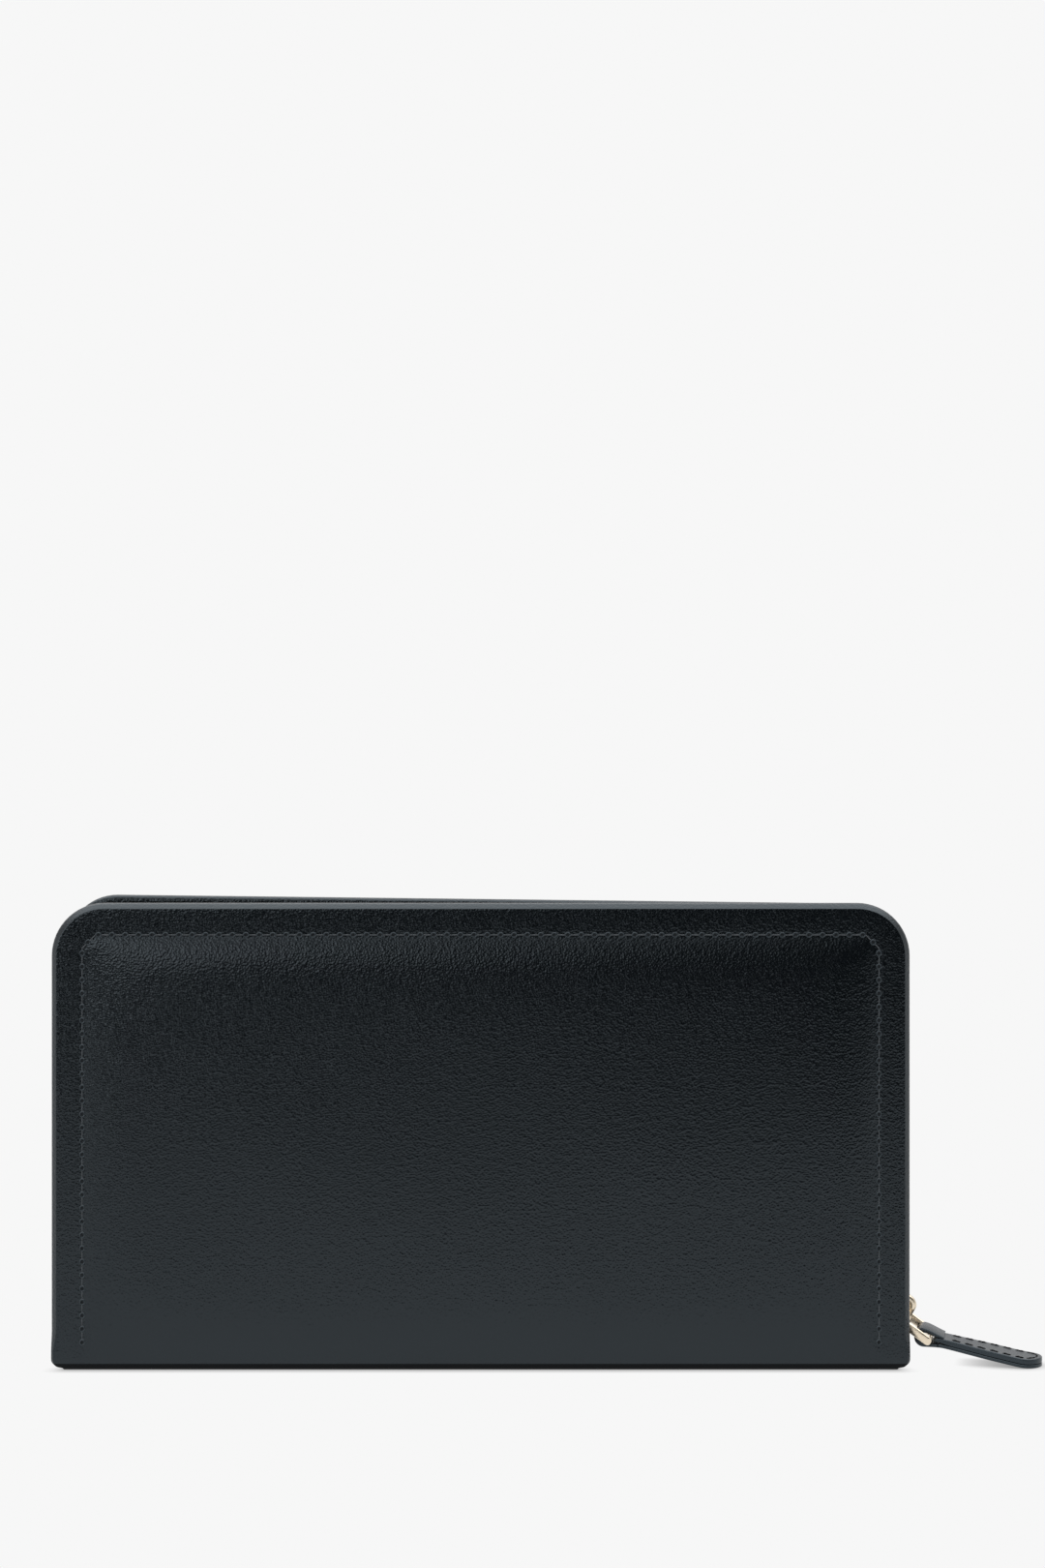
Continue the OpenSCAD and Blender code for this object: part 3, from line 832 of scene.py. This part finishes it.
def make_link():
    """The flat metal frame that joins the slider's crown to the strap's loop."""
    along = FAR_BAR - PIVOT
    length = along.length
    along.normalize()
    up = along.cross(ACROSS)
    if up.z < 0:
        up = -up
    reach, corner, past = 5.4, 0.9, 0.05
    plan = []
    for cx, cy, start in ((length + past - corner, reach - corner, 0), (corner, reach - corner, 90),
                          (corner, corner - reach, 180), (length + past - corner, corner - reach, 270)):
        turns = [math.radians(start + a) for a in range(0, 91, 15)]
        plan += [(cx + corner * math.cos(a), cy + corner * math.sin(a)) for a in turns]
    centres, sections = [], []
    for i, (u, w) in enumerate(plan):
        nu, nw = plan[(i + 1) % len(plan)]
        pu, pw = plan[i - 1]
        heading = (along * (nu - pu) + ACROSS * (nw - pw)).normalized()
        arm = smooth(reach - 1.2, reach, abs(w))
        centres.append(PIVOT + along * u + ACROSS * w)
        sections.append((heading.cross(up), up, 0.4 + 0.1 * arm, 0.4 + 0.6 * arm))
    soup = Soup()
    swept(soup, centres, sections, closed=True)
    made = soup.piece("pull_link_frame", [PALE_GOLD], merge=0.002)
    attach(made, "link")
    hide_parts("pull_link")


# The arch's line from its foot up to its head, as (outward, upward)
CROWN_SIDE = [(0.0, 0.7), (1.4, 0.85), (2.2, 1.3), (2.55, 2.1), (2.72, 3.2), (3.15, 4.7), (3.42, 5.7),
              (3.1, 6.6), (2.3, 7.25), (1.2, 7.65), (0.0, 7.75)]


def make_crown():
    """A teardrop arch on the slider's outer plate, deepest where the pull's link would slide."""
    low = box_mm("slider_crown")[0]
    base = Vector((low.x, 0, low.z))
    knots = [base + Vector((a, 0, b)) for a, b in CROWN_SIDE]
    centres = []
    for i in range(len(knots) - 1):
        p0, p1 = knots[max(i - 1, 0)], knots[i]
        p2, p3 = knots[i + 1], knots[min(i + 2, len(knots) - 1)]
        for step in range(5):
            t = step / 5
            centres.append(0.5 * ((2 * p1) + (p2 - p0) * t + (2 * p0 - 5 * p1 + 4 * p2 - p3) * t * t
                                  + (3 * p1 - p0 - 3 * p2 + p3) * t ** 3))
    centres.append(knots[-1])
    sections = []
    for i, centre in enumerate(centres):
        heading = (centres[min(i + 1, len(centres) - 1)] - centres[max(i - 1, 0)]).normalized()
        across = Vector((0, 1, 0))
        full = smooth(3.0, 5.4, centre.z - low.z)
        sections.append((across, heading.cross(across), 0.8 + 0.45 * full, 0.42 + 0.42 * full))
    soup = Soup()
    swept(soup, centres, sections, closed=False)
    made = soup.piece("slider_crown_arch", [PALE_GOLD], merge=0.002)
    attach(made, "zip_slider")
    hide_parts("slider_crown")


STRAP_RUN = 25.6
STRAP_SLOPE = 11.4
STRAP_BEND = (0.8, 3.8)
STRAP_LANDS = (19, 24)
STRAP_WIDENS = (3, 15)
STRAP_STEP = 0.5
STRAP_STEPS = 60
STRAP_LOW = -1.5
STRAP_NECK = 3.8
LOWER_PLY = 0.8


def strap_curve():
    """The strap's line, as evenly spaced points: level by the bar, then sloping, then on the ground."""
    point = FAR_BAR.copy()
    points = []
    for i in range(STRAP_STEPS):
        s = i * STRAP_STEP
        turn = math.radians(STRAP_SLOPE) * smooth(*STRAP_BEND, s) * (1 - smooth(*STRAP_LANDS, s))
        heading = FORWARD * math.cos(turn) - Vector((0, 0, 1)) * math.sin(turn)
        up = FORWARD * math.sin(turn) + Vector((0, 0, 1)) * math.cos(turn)
        points.append((point.copy(), heading, up))
        point += heading * STRAP_STEP
    lowest = min((p + up * STRAP_LOW).z for p, _, up in points)
    lift = Vector((0, 0, 0.06 - lowest))
    return [(p + lift * smooth(0, 16, i * STRAP_STEP), heading, up) for i,
            (p, heading, up) in enumerate(points)]


STRAP_POINTS = strap_curve()


def on_strap(s, w, level):
    """A point of the strap: s along it from the far bar, w across, and level above the bar's line."""
    i = min(max(int(s / STRAP_STEP), 0), STRAP_STEPS - 2)
    share = s / STRAP_STEP - i
    a, heading, up_a = STRAP_POINTS[i]
    b, _, up_b = STRAP_POINTS[i + 1]
    return a.lerp(b, share) + ACROSS * w + up_a.lerp(up_b, share) * level


def strap_half(s):
    """The strap's half width, which grows from its neck by the loop."""
    return STRAP_NECK + (STRAP_HALF_W - STRAP_NECK) * smooth(*STRAP_WIDENS, s)


def strap_rows(start):
    """(s, half width) rows of the strap from start to its round end."""
    centre = STRAP_RUN - STRAP_HALF_W
    rows = [(s, strap_half(s)) for s in spread(start, centre, 0.8)]
    tip = spread(0, 1.46, 0.1)[1:]
    rows += [(centre + STRAP_HALF_W * math.sin(a), STRAP_HALF_W * math.cos(a)) for a in tip]
    return rows


LOOP_CENTRE = (-1.4, 0.68)
LOOP_OUTSIDE = 2.18
LOOP_PLY = 1.12
FACING_FROM = 0.8
SLIT_END = 4.6
STRAP_PITCH = 2.95


def loop_sections():
    """The ply round the bar, as (inside point, outside point) pairs from under it round to its folded end."""
    cu, cv = LOOP_CENTRE
    top = STRAP_LOW + LOWER_PLY
    pairs = [((2.4, top), (2.4, STRAP_LOW)), ((0.6, top), (0.6, STRAP_LOW))]
    for a in spread(math.radians(-90), math.radians(-270), 0.16):
        inside = LOOP_OUTSIDE - LOOP_PLY
        pairs.append(((cu + inside * math.cos(a), cv + inside * math.sin(a)),
                      (cu + LOOP_OUTSIDE * math.cos(a), cv + LOOP_OUTSIDE * math.sin(a))))
    pairs += [((-0.8, 1.66), (-0.6, 2.66)), ((0.1, 1.3), (0.4, 2.24)), ((1.1, 0.92), (1.4, 1.72)),
              ((2.1, 0.7), (2.3, 1.3)), ((2.95, 0.67), (3.05, 1.04))]
    return pairs


def make_strap():
    """The strap's lower ply, the loop that it makes round the link's far bar, and its folded end."""
    soup = Soup()
    add_slab(soup, strap_rows(1.6), STRAP_LOW, STRAP_LOW + LOWER_PLY, 0.25, on_strap, 12, 0, 1)
    half = STRAP_NECK - 0.03
    rim = [(-half, 0.3), (-half + 0.12, 0.08), (-half + 0.35, 0), (0, 0), (half - 0.35, 0),
           (half - 0.12, 0.08),
           (half, 0.3)]
    rim += [(w, 1 - share) for w, share in reversed(rim)]
    rows = []
    for inside, outside in loop_sections():
        ring = []
        for w, share in rim:
            at = Vector(outside).lerp(Vector(inside), share)
            ring.append(on_strap(at.x, w, at.y) if at.x >= 0 else loop_point(at.x, w, at.y))
        rows.append(ring)
    soup.grid(rows, 0, wrap=True)
    for row, kind in ((rows[0], 0), (rows[-1], 1)):
        soup.add(row, [tuple(range(len(row)))], kind)
    made = soup.piece("pull_strap_ply", [STRAP, EDGE])
    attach(made, "strap")
    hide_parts("pull_strap")


def make_strap_facing():
    """The upper ply, which starts under the folded end and parts from the lower ply towards the loop."""
    low = STRAP_LOW + LOWER_PLY + 0.02
    high = STRAP_LOW + STRAP_T + 0.02

    def place(s, w, level):
        parting = 0.5 * (1 - smooth(FACING_FROM, SLIT_END, s)) * (high - level) / (high - low)
        return on_strap(s, w, level + parting)

    soup = Soup()
    add_slab(soup, strap_rows(FACING_FROM), low, high, 0.3, place, 12, 0, 1)
    made = soup.piece("pull_strap_facing", [STRAP, EDGE])
    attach(made, "strap")
    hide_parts("pull_facing")


def loop_point(s, w, level):
    """A point of the loop on the slider's side of the far bar, in the strap's first heading."""
    start, heading, up = STRAP_POINTS[0]
    return start + heading * s + ACROSS * w + up * level


def make_strap_stitches():
    """One row of flat stitches round the strap, inside its edge. They run on without gaps round the tip."""
    inset = 1.2
    centre = STRAP_RUN - STRAP_HALF_W
    r = STRAP_HALF_W - inset
    level = STRAP_LOW + STRAP_T + 0.02
    side = [(s, strap_half(s) - inset) for s in spread(4.4, centre, 0.5)]
    plan = [(s, -w) for s, w in side]
    plan += [(centre + r * math.sin(a), -r * math.cos(a)) for a in spread(0, math.pi, 0.15)[1:-1]]
    plan += [(s, w) for s, w in reversed(side)]
    points = [on_strap(s, w, level) for s, w in plan]
    normals = [STRAP_POINTS[min(int(s / STRAP_STEP), STRAP_STEPS - 2)][2] for s, _ in plan]
    line = Line(points, normals)
    soup = Soup()
    count = round(line.length / STRAP_PITCH)
    pitch = line.length / count
    for i in range(count):
        at_tip = abs(i + 0.5 - count / 2) * pitch < r * math.pi / 2
        gap = 0.02 if at_tip else 0.42
        radius = 0.2 if at_tip else 0.27
        add_strand(soup, line, i * pitch + gap, (i + 1) * pitch - gap, radius, radius * 0.75)
    made = soup.piece("pull_strap_stitching", [DARK_THREAD])
    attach(made, "strap")


# ---- Boards, linings, card pockets, dividers and the coin pocket

def bow(x, z):
    """The slight waviness that the upright layers share."""
    return 0.06 * noise.noise(Vector((x / 37, z / 29, 3.1)))


def flat_piece(name, node, materials, low_r, high_r, body):
    """An upright sheet in a CAD node's place, with rounded corners and softened edges."""
    low, high = box_mm(node)
    soup = Soup()
    rows = rounded_rows(low.z, high.z, high.x, low_r, high_r, 6.0)
    soft = min(0.15, 0.4 * (high.y - low.y))
    add_slab(soup, rows, low.y, high.y, soft, lambda s, w, level: (w, level + bow(w, s), s), 28, 0, 1)
    made = soup.piece(name, materials)
    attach(made, body)
    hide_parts(node)
    return made


def add_seam(soup, a, b, normal, pitch=3.0, sunk=0.0):
    """A straight row of small stitches from a to b."""
    count = max(1, round(math.dist(a, b) / pitch))
    line = Line([a, b], [normal, normal])
    step = line.length / count
    for i in range(count):
        add_strand(soup, line, i * step + 0.4, (i + 1) * step - 0.4, 0.15, 0.16 - sunk, 0, 6, 7)


def seam_piece(name, soup, body):
    """The piece that a soup of seams becomes."""
    made = soup.piece(name, [THREAD])
    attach(made, body)


def make_cover_inside(side):
    """The foam, board and lining of a cover."""
    body = side + "_cover"
    inset = HALF_W - box_mm(side + "_foam")[1].x
    foam_r = max(0.6, CORNER_R - inset)
    foam = flat_piece(side + "_foam_pad", side + "_foam", [FOAM, FOAM], 0.5, foam_r, body)
    board_r = CORNER_R - 1.3
    flat_piece(side + "_cover_board", side + "_board", [BOARD, BOARD], 0.6, board_r, body)
    node = side + "_lining"
    low, high = box_mm(node)
    lining_r = CORNER_R - 7.5
    lining = flat_piece(side + "_cover_lining", node, [LINING, LINING], 0.4, lining_r, body)


def make_card_pockets(side):
    """A card panel with three stepped tiers sewn onto it, in two columns."""
    body = side + "_cover"
    flat_piece(side + "_card_back", side + "_card_panel", [INNER, EDGE], 2.0, 2.0, body)
    for level in ("high", "mid", "low"):
        node = f"{side}_card_tier_{level}"
        flat_piece(f"{side}_card_pocket_{level}", node, [INNER, EDGE], 2.0, 1.2, body)
    inward = SIGN[side]
    normal = (0, inward, 0)
    soup = Soup()
    foot = 5.5
    for node in ("card_tier_low", "card_tier_mid", "card_tier_high", "card_panel"):
        low, high = box_mm(f"{side}_{node}")
        face = high.y if inward > 0 else low.y
        x = high.x - 2
        top = high.z - 2
        for a, b in ((-x, -1), (1, x)):
            add_seam(soup, (a, face + bow(a, top), top), (b, face + bow(b, top), top), normal)
        for column in (-x, 0, x):
            add_seam(soup, (column, face + bow(column, foot), foot), (column, face + bow(column, top), top),
                     normal,
                     sunk=0.11 if column else 0.0)
        foot = high.z + 0.8
    seam_piece(side + "_card_stitching", soup, body)


def make_inside_stitches(side):
    """Where the cover's stitches come out again, between the zip tape and the lining."""
    y = -OUT_Y + 2 * EDGE_R
    corners = [(x, y, z) for x, z in stitch_corners()]
    soup = Soup()
    for a, b in zip(corners, corners[1:]):
        add_seam(soup, a, b, (0, 1, 0), STITCH_PITCH)
    if side == "rear":
        soup.points = [(x, -y, z) for x, y, z in soup.points]
    seam_piece(side + "_inside_stitching", soup, side + "_cover")


def make_divider(side):
    """A note divider with a stitched edge. On its inner side the stitches stop above the gusset."""
    body = side + "_note_divider"
    flat_piece(side + "_note_wall", side + "_divider", [INNER, EDGE], 1.0, 4.0, body)
    low, high = box_mm(side + "_divider")
    outer = low.y if side == "front" else high.y
    inner = high.y if side == "front" else low.y
    x = high.x - 2.2
    top = high.z - 2.2
    corner = 3.0
    soup = Soup()
    for face, foot in ((outer, low.z + 3), (inner, 74)):
        normal = (0, math.copysign(1, face - (outer + inner) / 2), 0)
        path = [(-x, foot), (-x, top - corner), (corner - x, top), (x - corner, top), (x, top - corner),
                (x, foot)]
        for a, b in zip(path, path[1:]):
            add_seam(soup, (a[0], face + bow(*a), a[1]), (b[0], face + bow(*b), b[1]), normal)
    seam_piece(side + "_note_stitching", soup, body)


def add_tube(soup, rows, marks):
    """Closed rows joined into a tube with both ends shut. marks are the rows' UVs."""
    soup.grid(rows, 0, marks, wrap=True)
    for row, mark in ((rows[0], marks[0]), (rows[-1], marks[-1])):
        soup.add(row, [tuple(range(len(row)))], 0, mark)


def add_band(soup, path, half_t, low, high, step, place):
    """A strip of cloth or leather that follows a flat path. place turns (a, b, height) into a point."""
    path = [Vector(p) for p in path]
    heights = spread(low, high, step)
    rows, marks, along = [], [], 0.0
    for i, point in enumerate(path):
        heading = (path[min(i + 1, len(path) - 1)] - path[max(i - 1, 0)]).normalized()
        across = Vector((-heading.y, heading.x)) * half_t
        along += (point - path[max(i - 1, 0)]).length
        rows.append([place(*(point - across), c) for c in heights]
                    + [place(*(point + across), c) for c in reversed(heights)])
        marks.append([(along, c) for c in heights + heights[::-1]])
    add_tube(soup, rows, marks)


def make_coin_pocket():
    """The coin pocket's two walls, and the strip that joins them along the foot and the ends."""
    for side in ("front", "rear"):
        node = "coin_wall_" + side
        flat_piece(f"coin_{side}_wall_leather", node, [INNER, EDGE], 0.6, 0.6, "core")
        low, high = box_mm(node)
        face = low.y if side == "front" else high.y
        normal = (0, math.copysign(1, face), 0)
        soup = Soup()
        for top in (high.z - 1.6, high.z - 5.4):
            add_seam(soup, (2 - high.x, face + bow(-80, top), top), (high.x - 2, face + bow(80, top), top),
                     normal,
                     sunk=0.06)
        seam_piece(f"coin_{side}_stitching", soup, "core")
    low, high = box_mm("coin_pocket_strip")
    x = high.x - 0.5
    z = low.z + 0.5
    bend = 2.0
    path = [(-x, high.z), (-x, z + bend)]
    quarter = spread(0, math.pi / 2, 0.3)
    path += [(bend - x - bend * math.cos(a), z + bend - bend * math.sin(a)) for a in quarter]
    path += [(x - bend + bend * math.sin(a), z + bend - bend * math.cos(a)) for a in quarter]
    path += [(x, z + bend), (x, high.z)]
    soup = Soup()
    add_band(soup, eased(path, 4.0), 0.48, low.y, high.y, 1.6, lambda a, b, c: (a, c, b))
    made = soup.piece("coin_pocket_gusset_strip", [INNER])
    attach(made, "core")
    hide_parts("coin_pocket_strip")


def add_tape(soup, section, places):
    """A woven tape: a closed section, (inset, y) points, carried along places that turn them into points."""
    rim = [0.0]
    for a, b in zip(section, section[1:]):
        rim.append(rim[-1] + math.dist(a, b))
    rows = [[at(*p) for p in section] for _, at in places]
    marks = [[(along, r) for r in rim] for along, _ in places]
    add_tube(soup, rows, marks)


def make_zip_tape(side):
    """The main zip's tape: a wall that carries the teeth, and a flange sewn under the cover's edge."""
    sign = SIGN[side]
    node = side + "_zip_tape"
    low, high = box_mm(node)
    outer, thick = HALF_W - high.x, 0.7
    back, edge = (low.y, high.y) if side == "front" else (-high.y, -low.y)
    flange_t, reach = 0.5, 7.0
    section = [(outer, edge - 0.2), (outer + 0.15, edge), (outer + thick - 0.15, edge),
               (outer + thick, edge - 0.2)]
    section += [(outer + thick, y) for y in spread(edge - 1.2, back + flange_t + 0.25, 1.2)]
    section += [(outer + thick + 0.25, back + flange_t)]
    section += [(d, back + flange_t) for d in spread(outer + thick + 1.2, reach - 0.15, 1.0)]
    section += [(reach, back + flange_t - 0.12), (reach, back + 0.12), (reach - 0.15, back)]
    section += [(d, back) for d in spread(reach - 1.2, outer + 0.6, 1.0)]
    section += [(outer + 0.1, back + 0.12)]
    section += [(outer, y) for y in spread(back + 0.5, edge - 1.2, 1.2)]

    def station(kind, value):
        def at(d, y):
            if kind == "side":
                return (math.copysign(HALF_W - d, value[0]), sign * y, value[1])
            if kind == "top":
                return (value, sign * y, TOP - d)
            r = CORNER_R - d
            x = math.copysign(ARC_X + r * math.cos(value[1]), value[0])
            return (x, sign * y, ARC_Z + r * math.sin(value[1]))
        return at

    turn = CORNER_R - outer
    arc = spread(0, math.pi / 2, 0.13)
    side_z = spread(low.z, ARC_Z, 3.0)[:-1]
    places = [(z - low.z, station("side", (-1, z))) for z in side_z]
    along = ARC_Z - low.z
    places += [(along + turn * a, station("arc", (-1, a))) for a in arc]
    along += turn * math.pi / 2
    places += [(along + x + ARC_X, station("top", x)) for x in spread(-ARC_X, ARC_X, 3.0)[1:-1]]
    along += 2 * ARC_X
    places += [(along + turn * (math.pi / 2 - a), station("arc", (1, a))) for a in reversed(arc)]
    along += turn * math.pi / 2
    places += [(along + ARC_Z - z, station("side", (1, z))) for z in reversed(side_z)]
    soup = Soup()
    add_tape(soup, section, places)
    made = soup.piece(side + "_woven_zip_tape", [TAPE])
    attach(made, side + "_cover")
    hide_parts(node)


def make_coin_tape(side):
    """The coin zip's tape: a strip towards the teeth and a flange sewn inside the wall."""
    sign = -SIGN[side]
    low, high = box_mm("coin_tape_" + side)
    near = min(abs(low.y), abs(high.y))
    far = max(abs(low.y), abs(high.y))
    foot, top = low.z, high.z
    back = far - 0.5
    section = [(near, top - 0.45), (near, top - 0.12), (near + 0.12, top), (near + 1, top), (far - 0.2, top),
               (far, top - 0.2), (far, top - 2), (far, top - 4), (far, foot + 0.1), (far - 0.1, foot),
               (far - 0.4, foot), (back, foot + 0.1), (back, top - 4), (back, top - 2), (back, top - 0.8),
               (far - 0.7, top - 0.6), (near + 1, top - 0.6), (near + 0.12, top - 0.6)]
    places = [(x - low.x, lambda y, z, x=x: (x, sign * y, z)) for x in spread(low.x, high.x, 3.0)]
    soup = Soup()
    add_tape(soup, section, places)
    made = soup.piece(f"coin_{side}_woven_tape", [TAPE])
    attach(made, "core")
    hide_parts("coin_tape_" + side)


def make_spine_inside():
    """The spine's board and lining, flat on the inside of the foot."""
    for name, node, material, slot in (("spine_stiffener", "spine_board", BOARD, "board"),
                                       ("spine_inner_lining", "spine_lining", LINING, "lining")):
        low, high = box_mm(node)
        soup = Soup()
        add_slab(soup, rounded_rows(low.x, high.x, high.y, 1.0, 1.0, 6.0), low.z, high.z, 0.12,
                 lambda s, w, level: (s, w, level), 6)
        made = soup.piece(name, [material])
        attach(made, "core")
        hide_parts(node)


# ---- Side gussets: each has a fold between the coin pocket and the divider, and one on to the cover

GUSSET_FOOT = 5.0
GUSSET_TOP = 72.0
GUSSET_FOLD_X = 72.0
# The depths between which a fold turns, its two legs as (x, share of the opening), and the ends sewn down
GUSSET_SPAN = {"pocket": (-3.95, -4.6), "cover": (-5.4, -6.4)}
GUSSET_LEGS = {"pocket": ((86.2, 0.0), (86.2, 1.0)), "cover": ((86.1, 0.5), (88.3, 1.0))}
GUSSET_SEWN = {"pocket": [(86.32, -4.7), (86.35, -5.5)],
               "cover": [(88.48, -6.5), (88.53, -6.8), (88.53, -8.7)]}


def turning_place(share):
    """How far between a fold's two ends cloth lies that turns by this share of the whole opening."""
    return 0.5 - math.sin(math.asin(1 - 2 * share) / 3)


def gusset_path(part):
    """A fold's line at rest: in along one leg, round the fold and out along the other."""
    start, stop = GUSSET_SPAN[part]
    (x_from, share_from), (x_to, share_to) = GUSSET_LEGS[part]
    middle = (share_from + share_to) / 2
    legs = [(x_from + (GUSSET_FOLD_X - x_from) * u, share_from + (middle - share_from) * u)
            for u in spread(0, 1, 0.1)]
    legs += [(GUSSET_FOLD_X + (x_to - GUSSET_FOLD_X) * u, middle + (share_to - middle) * u)
             for u in spread(0, 1, 0.1)[1:]]
    return [(x, start + (stop - start) * turning_place(share)) for x, share in legs] + GUSSET_SEWN[part]


def make_gusset_fold(side, end, part):
    """One fold of a gusset, a single layer of cloth that spreads between what its two ends are sewn to."""
    sign = SIGN[side]
    hand = 1 if end == "right" else -1
    path = gusset_path(part)
    heights = spread(GUSSET_FOOT, GUSSET_TOP, 3.5)
    rows, marks, along = [], [], 0.0
    for i, (x, y) in enumerate(path):
        along += math.dist(path[i], path[max(i - 1, 0)])
        rows.append([(hand * x, sign * y, z) for z in heights])
        marks.append([(along, z) for z in heights])
    soup = Soup()
    soup.grid(rows, 0, marks)
    made = soup.piece(f"{side}_{end}_gusset_{part}_fold", [LINING])
    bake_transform(made)
    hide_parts(f"gusset_{side}_{end}")
    rest = [side + "_note_wall"]
    rest += [f"coin_{side}_wall_leather"] if part == "pocket" else [side + "_cover_lining"]


# ---- Metal parts that keep their CAD shape

# Each node's metal and the width of its rounded edges
METAL = {
    "front_zip_teeth": (ZIP_METAL, 0.1),
    "rear_zip_teeth": (ZIP_METAL, 0.1),
    "front_zip_stops": (ZIP_METAL, 0.15),
    "rear_zip_stops": (ZIP_METAL, 0.15),
    "coin_teeth_front": (ZIP_METAL, 0.08),
    "coin_teeth_rear": (ZIP_METAL, 0.08),
    "coin_zip_stops": (ZIP_METAL, 0.12),
    "slider_body": (PALE_GOLD, 0.18),
    "coin_slider_body": (PALE_GOLD, 0.15),
    "coin_slider_crown": (PALE_GOLD, 0.18),
    "coin_pull": (PALE_GOLD, 0.25),
}


def finish_metal(node):
    """Rounds a metal node's edges as casting and polishing do, and gives it its metal."""
    material, width = METAL[node]
    piece = frame["nodes"][node]
    piece.data.materials.clear()
    piece.data.materials.append(material)
    weld = piece.modifiers.new("joined", "WELD")
    weld.merge_threshold = 0.001 * MM
    bevel = piece.modifiers.new("rounded", "BEVEL")
    bevel.width = width * MM
    bevel.segments = 2
    bevel.limit_method = "ANGLE"
    bevel.angle_limit = math.radians(35)
    bevel.use_clamp_overlap = True


make_camera()
make_world()
make_floor()
for cover in ("front", "rear"):
    make_cover(cover)
    make_cover_stitches(cover)
    make_cover_inside(cover)
    make_card_pockets(cover)
    make_inside_stitches(cover)
    make_zip_tape(cover)
    make_divider(cover)
    make_coin_tape(cover)
make_spine_inside()
make_coin_pocket()
for cover in ("front", "rear"):
    for end in ("left", "right"):
        for part in ("pocket", "cover"):
            make_gusset_fold(cover, end, part)
make_link()
make_crown()
make_strap()
make_strap_facing()
make_strap_stitches()
for metal_node in METAL:
    finish_metal(metal_node)
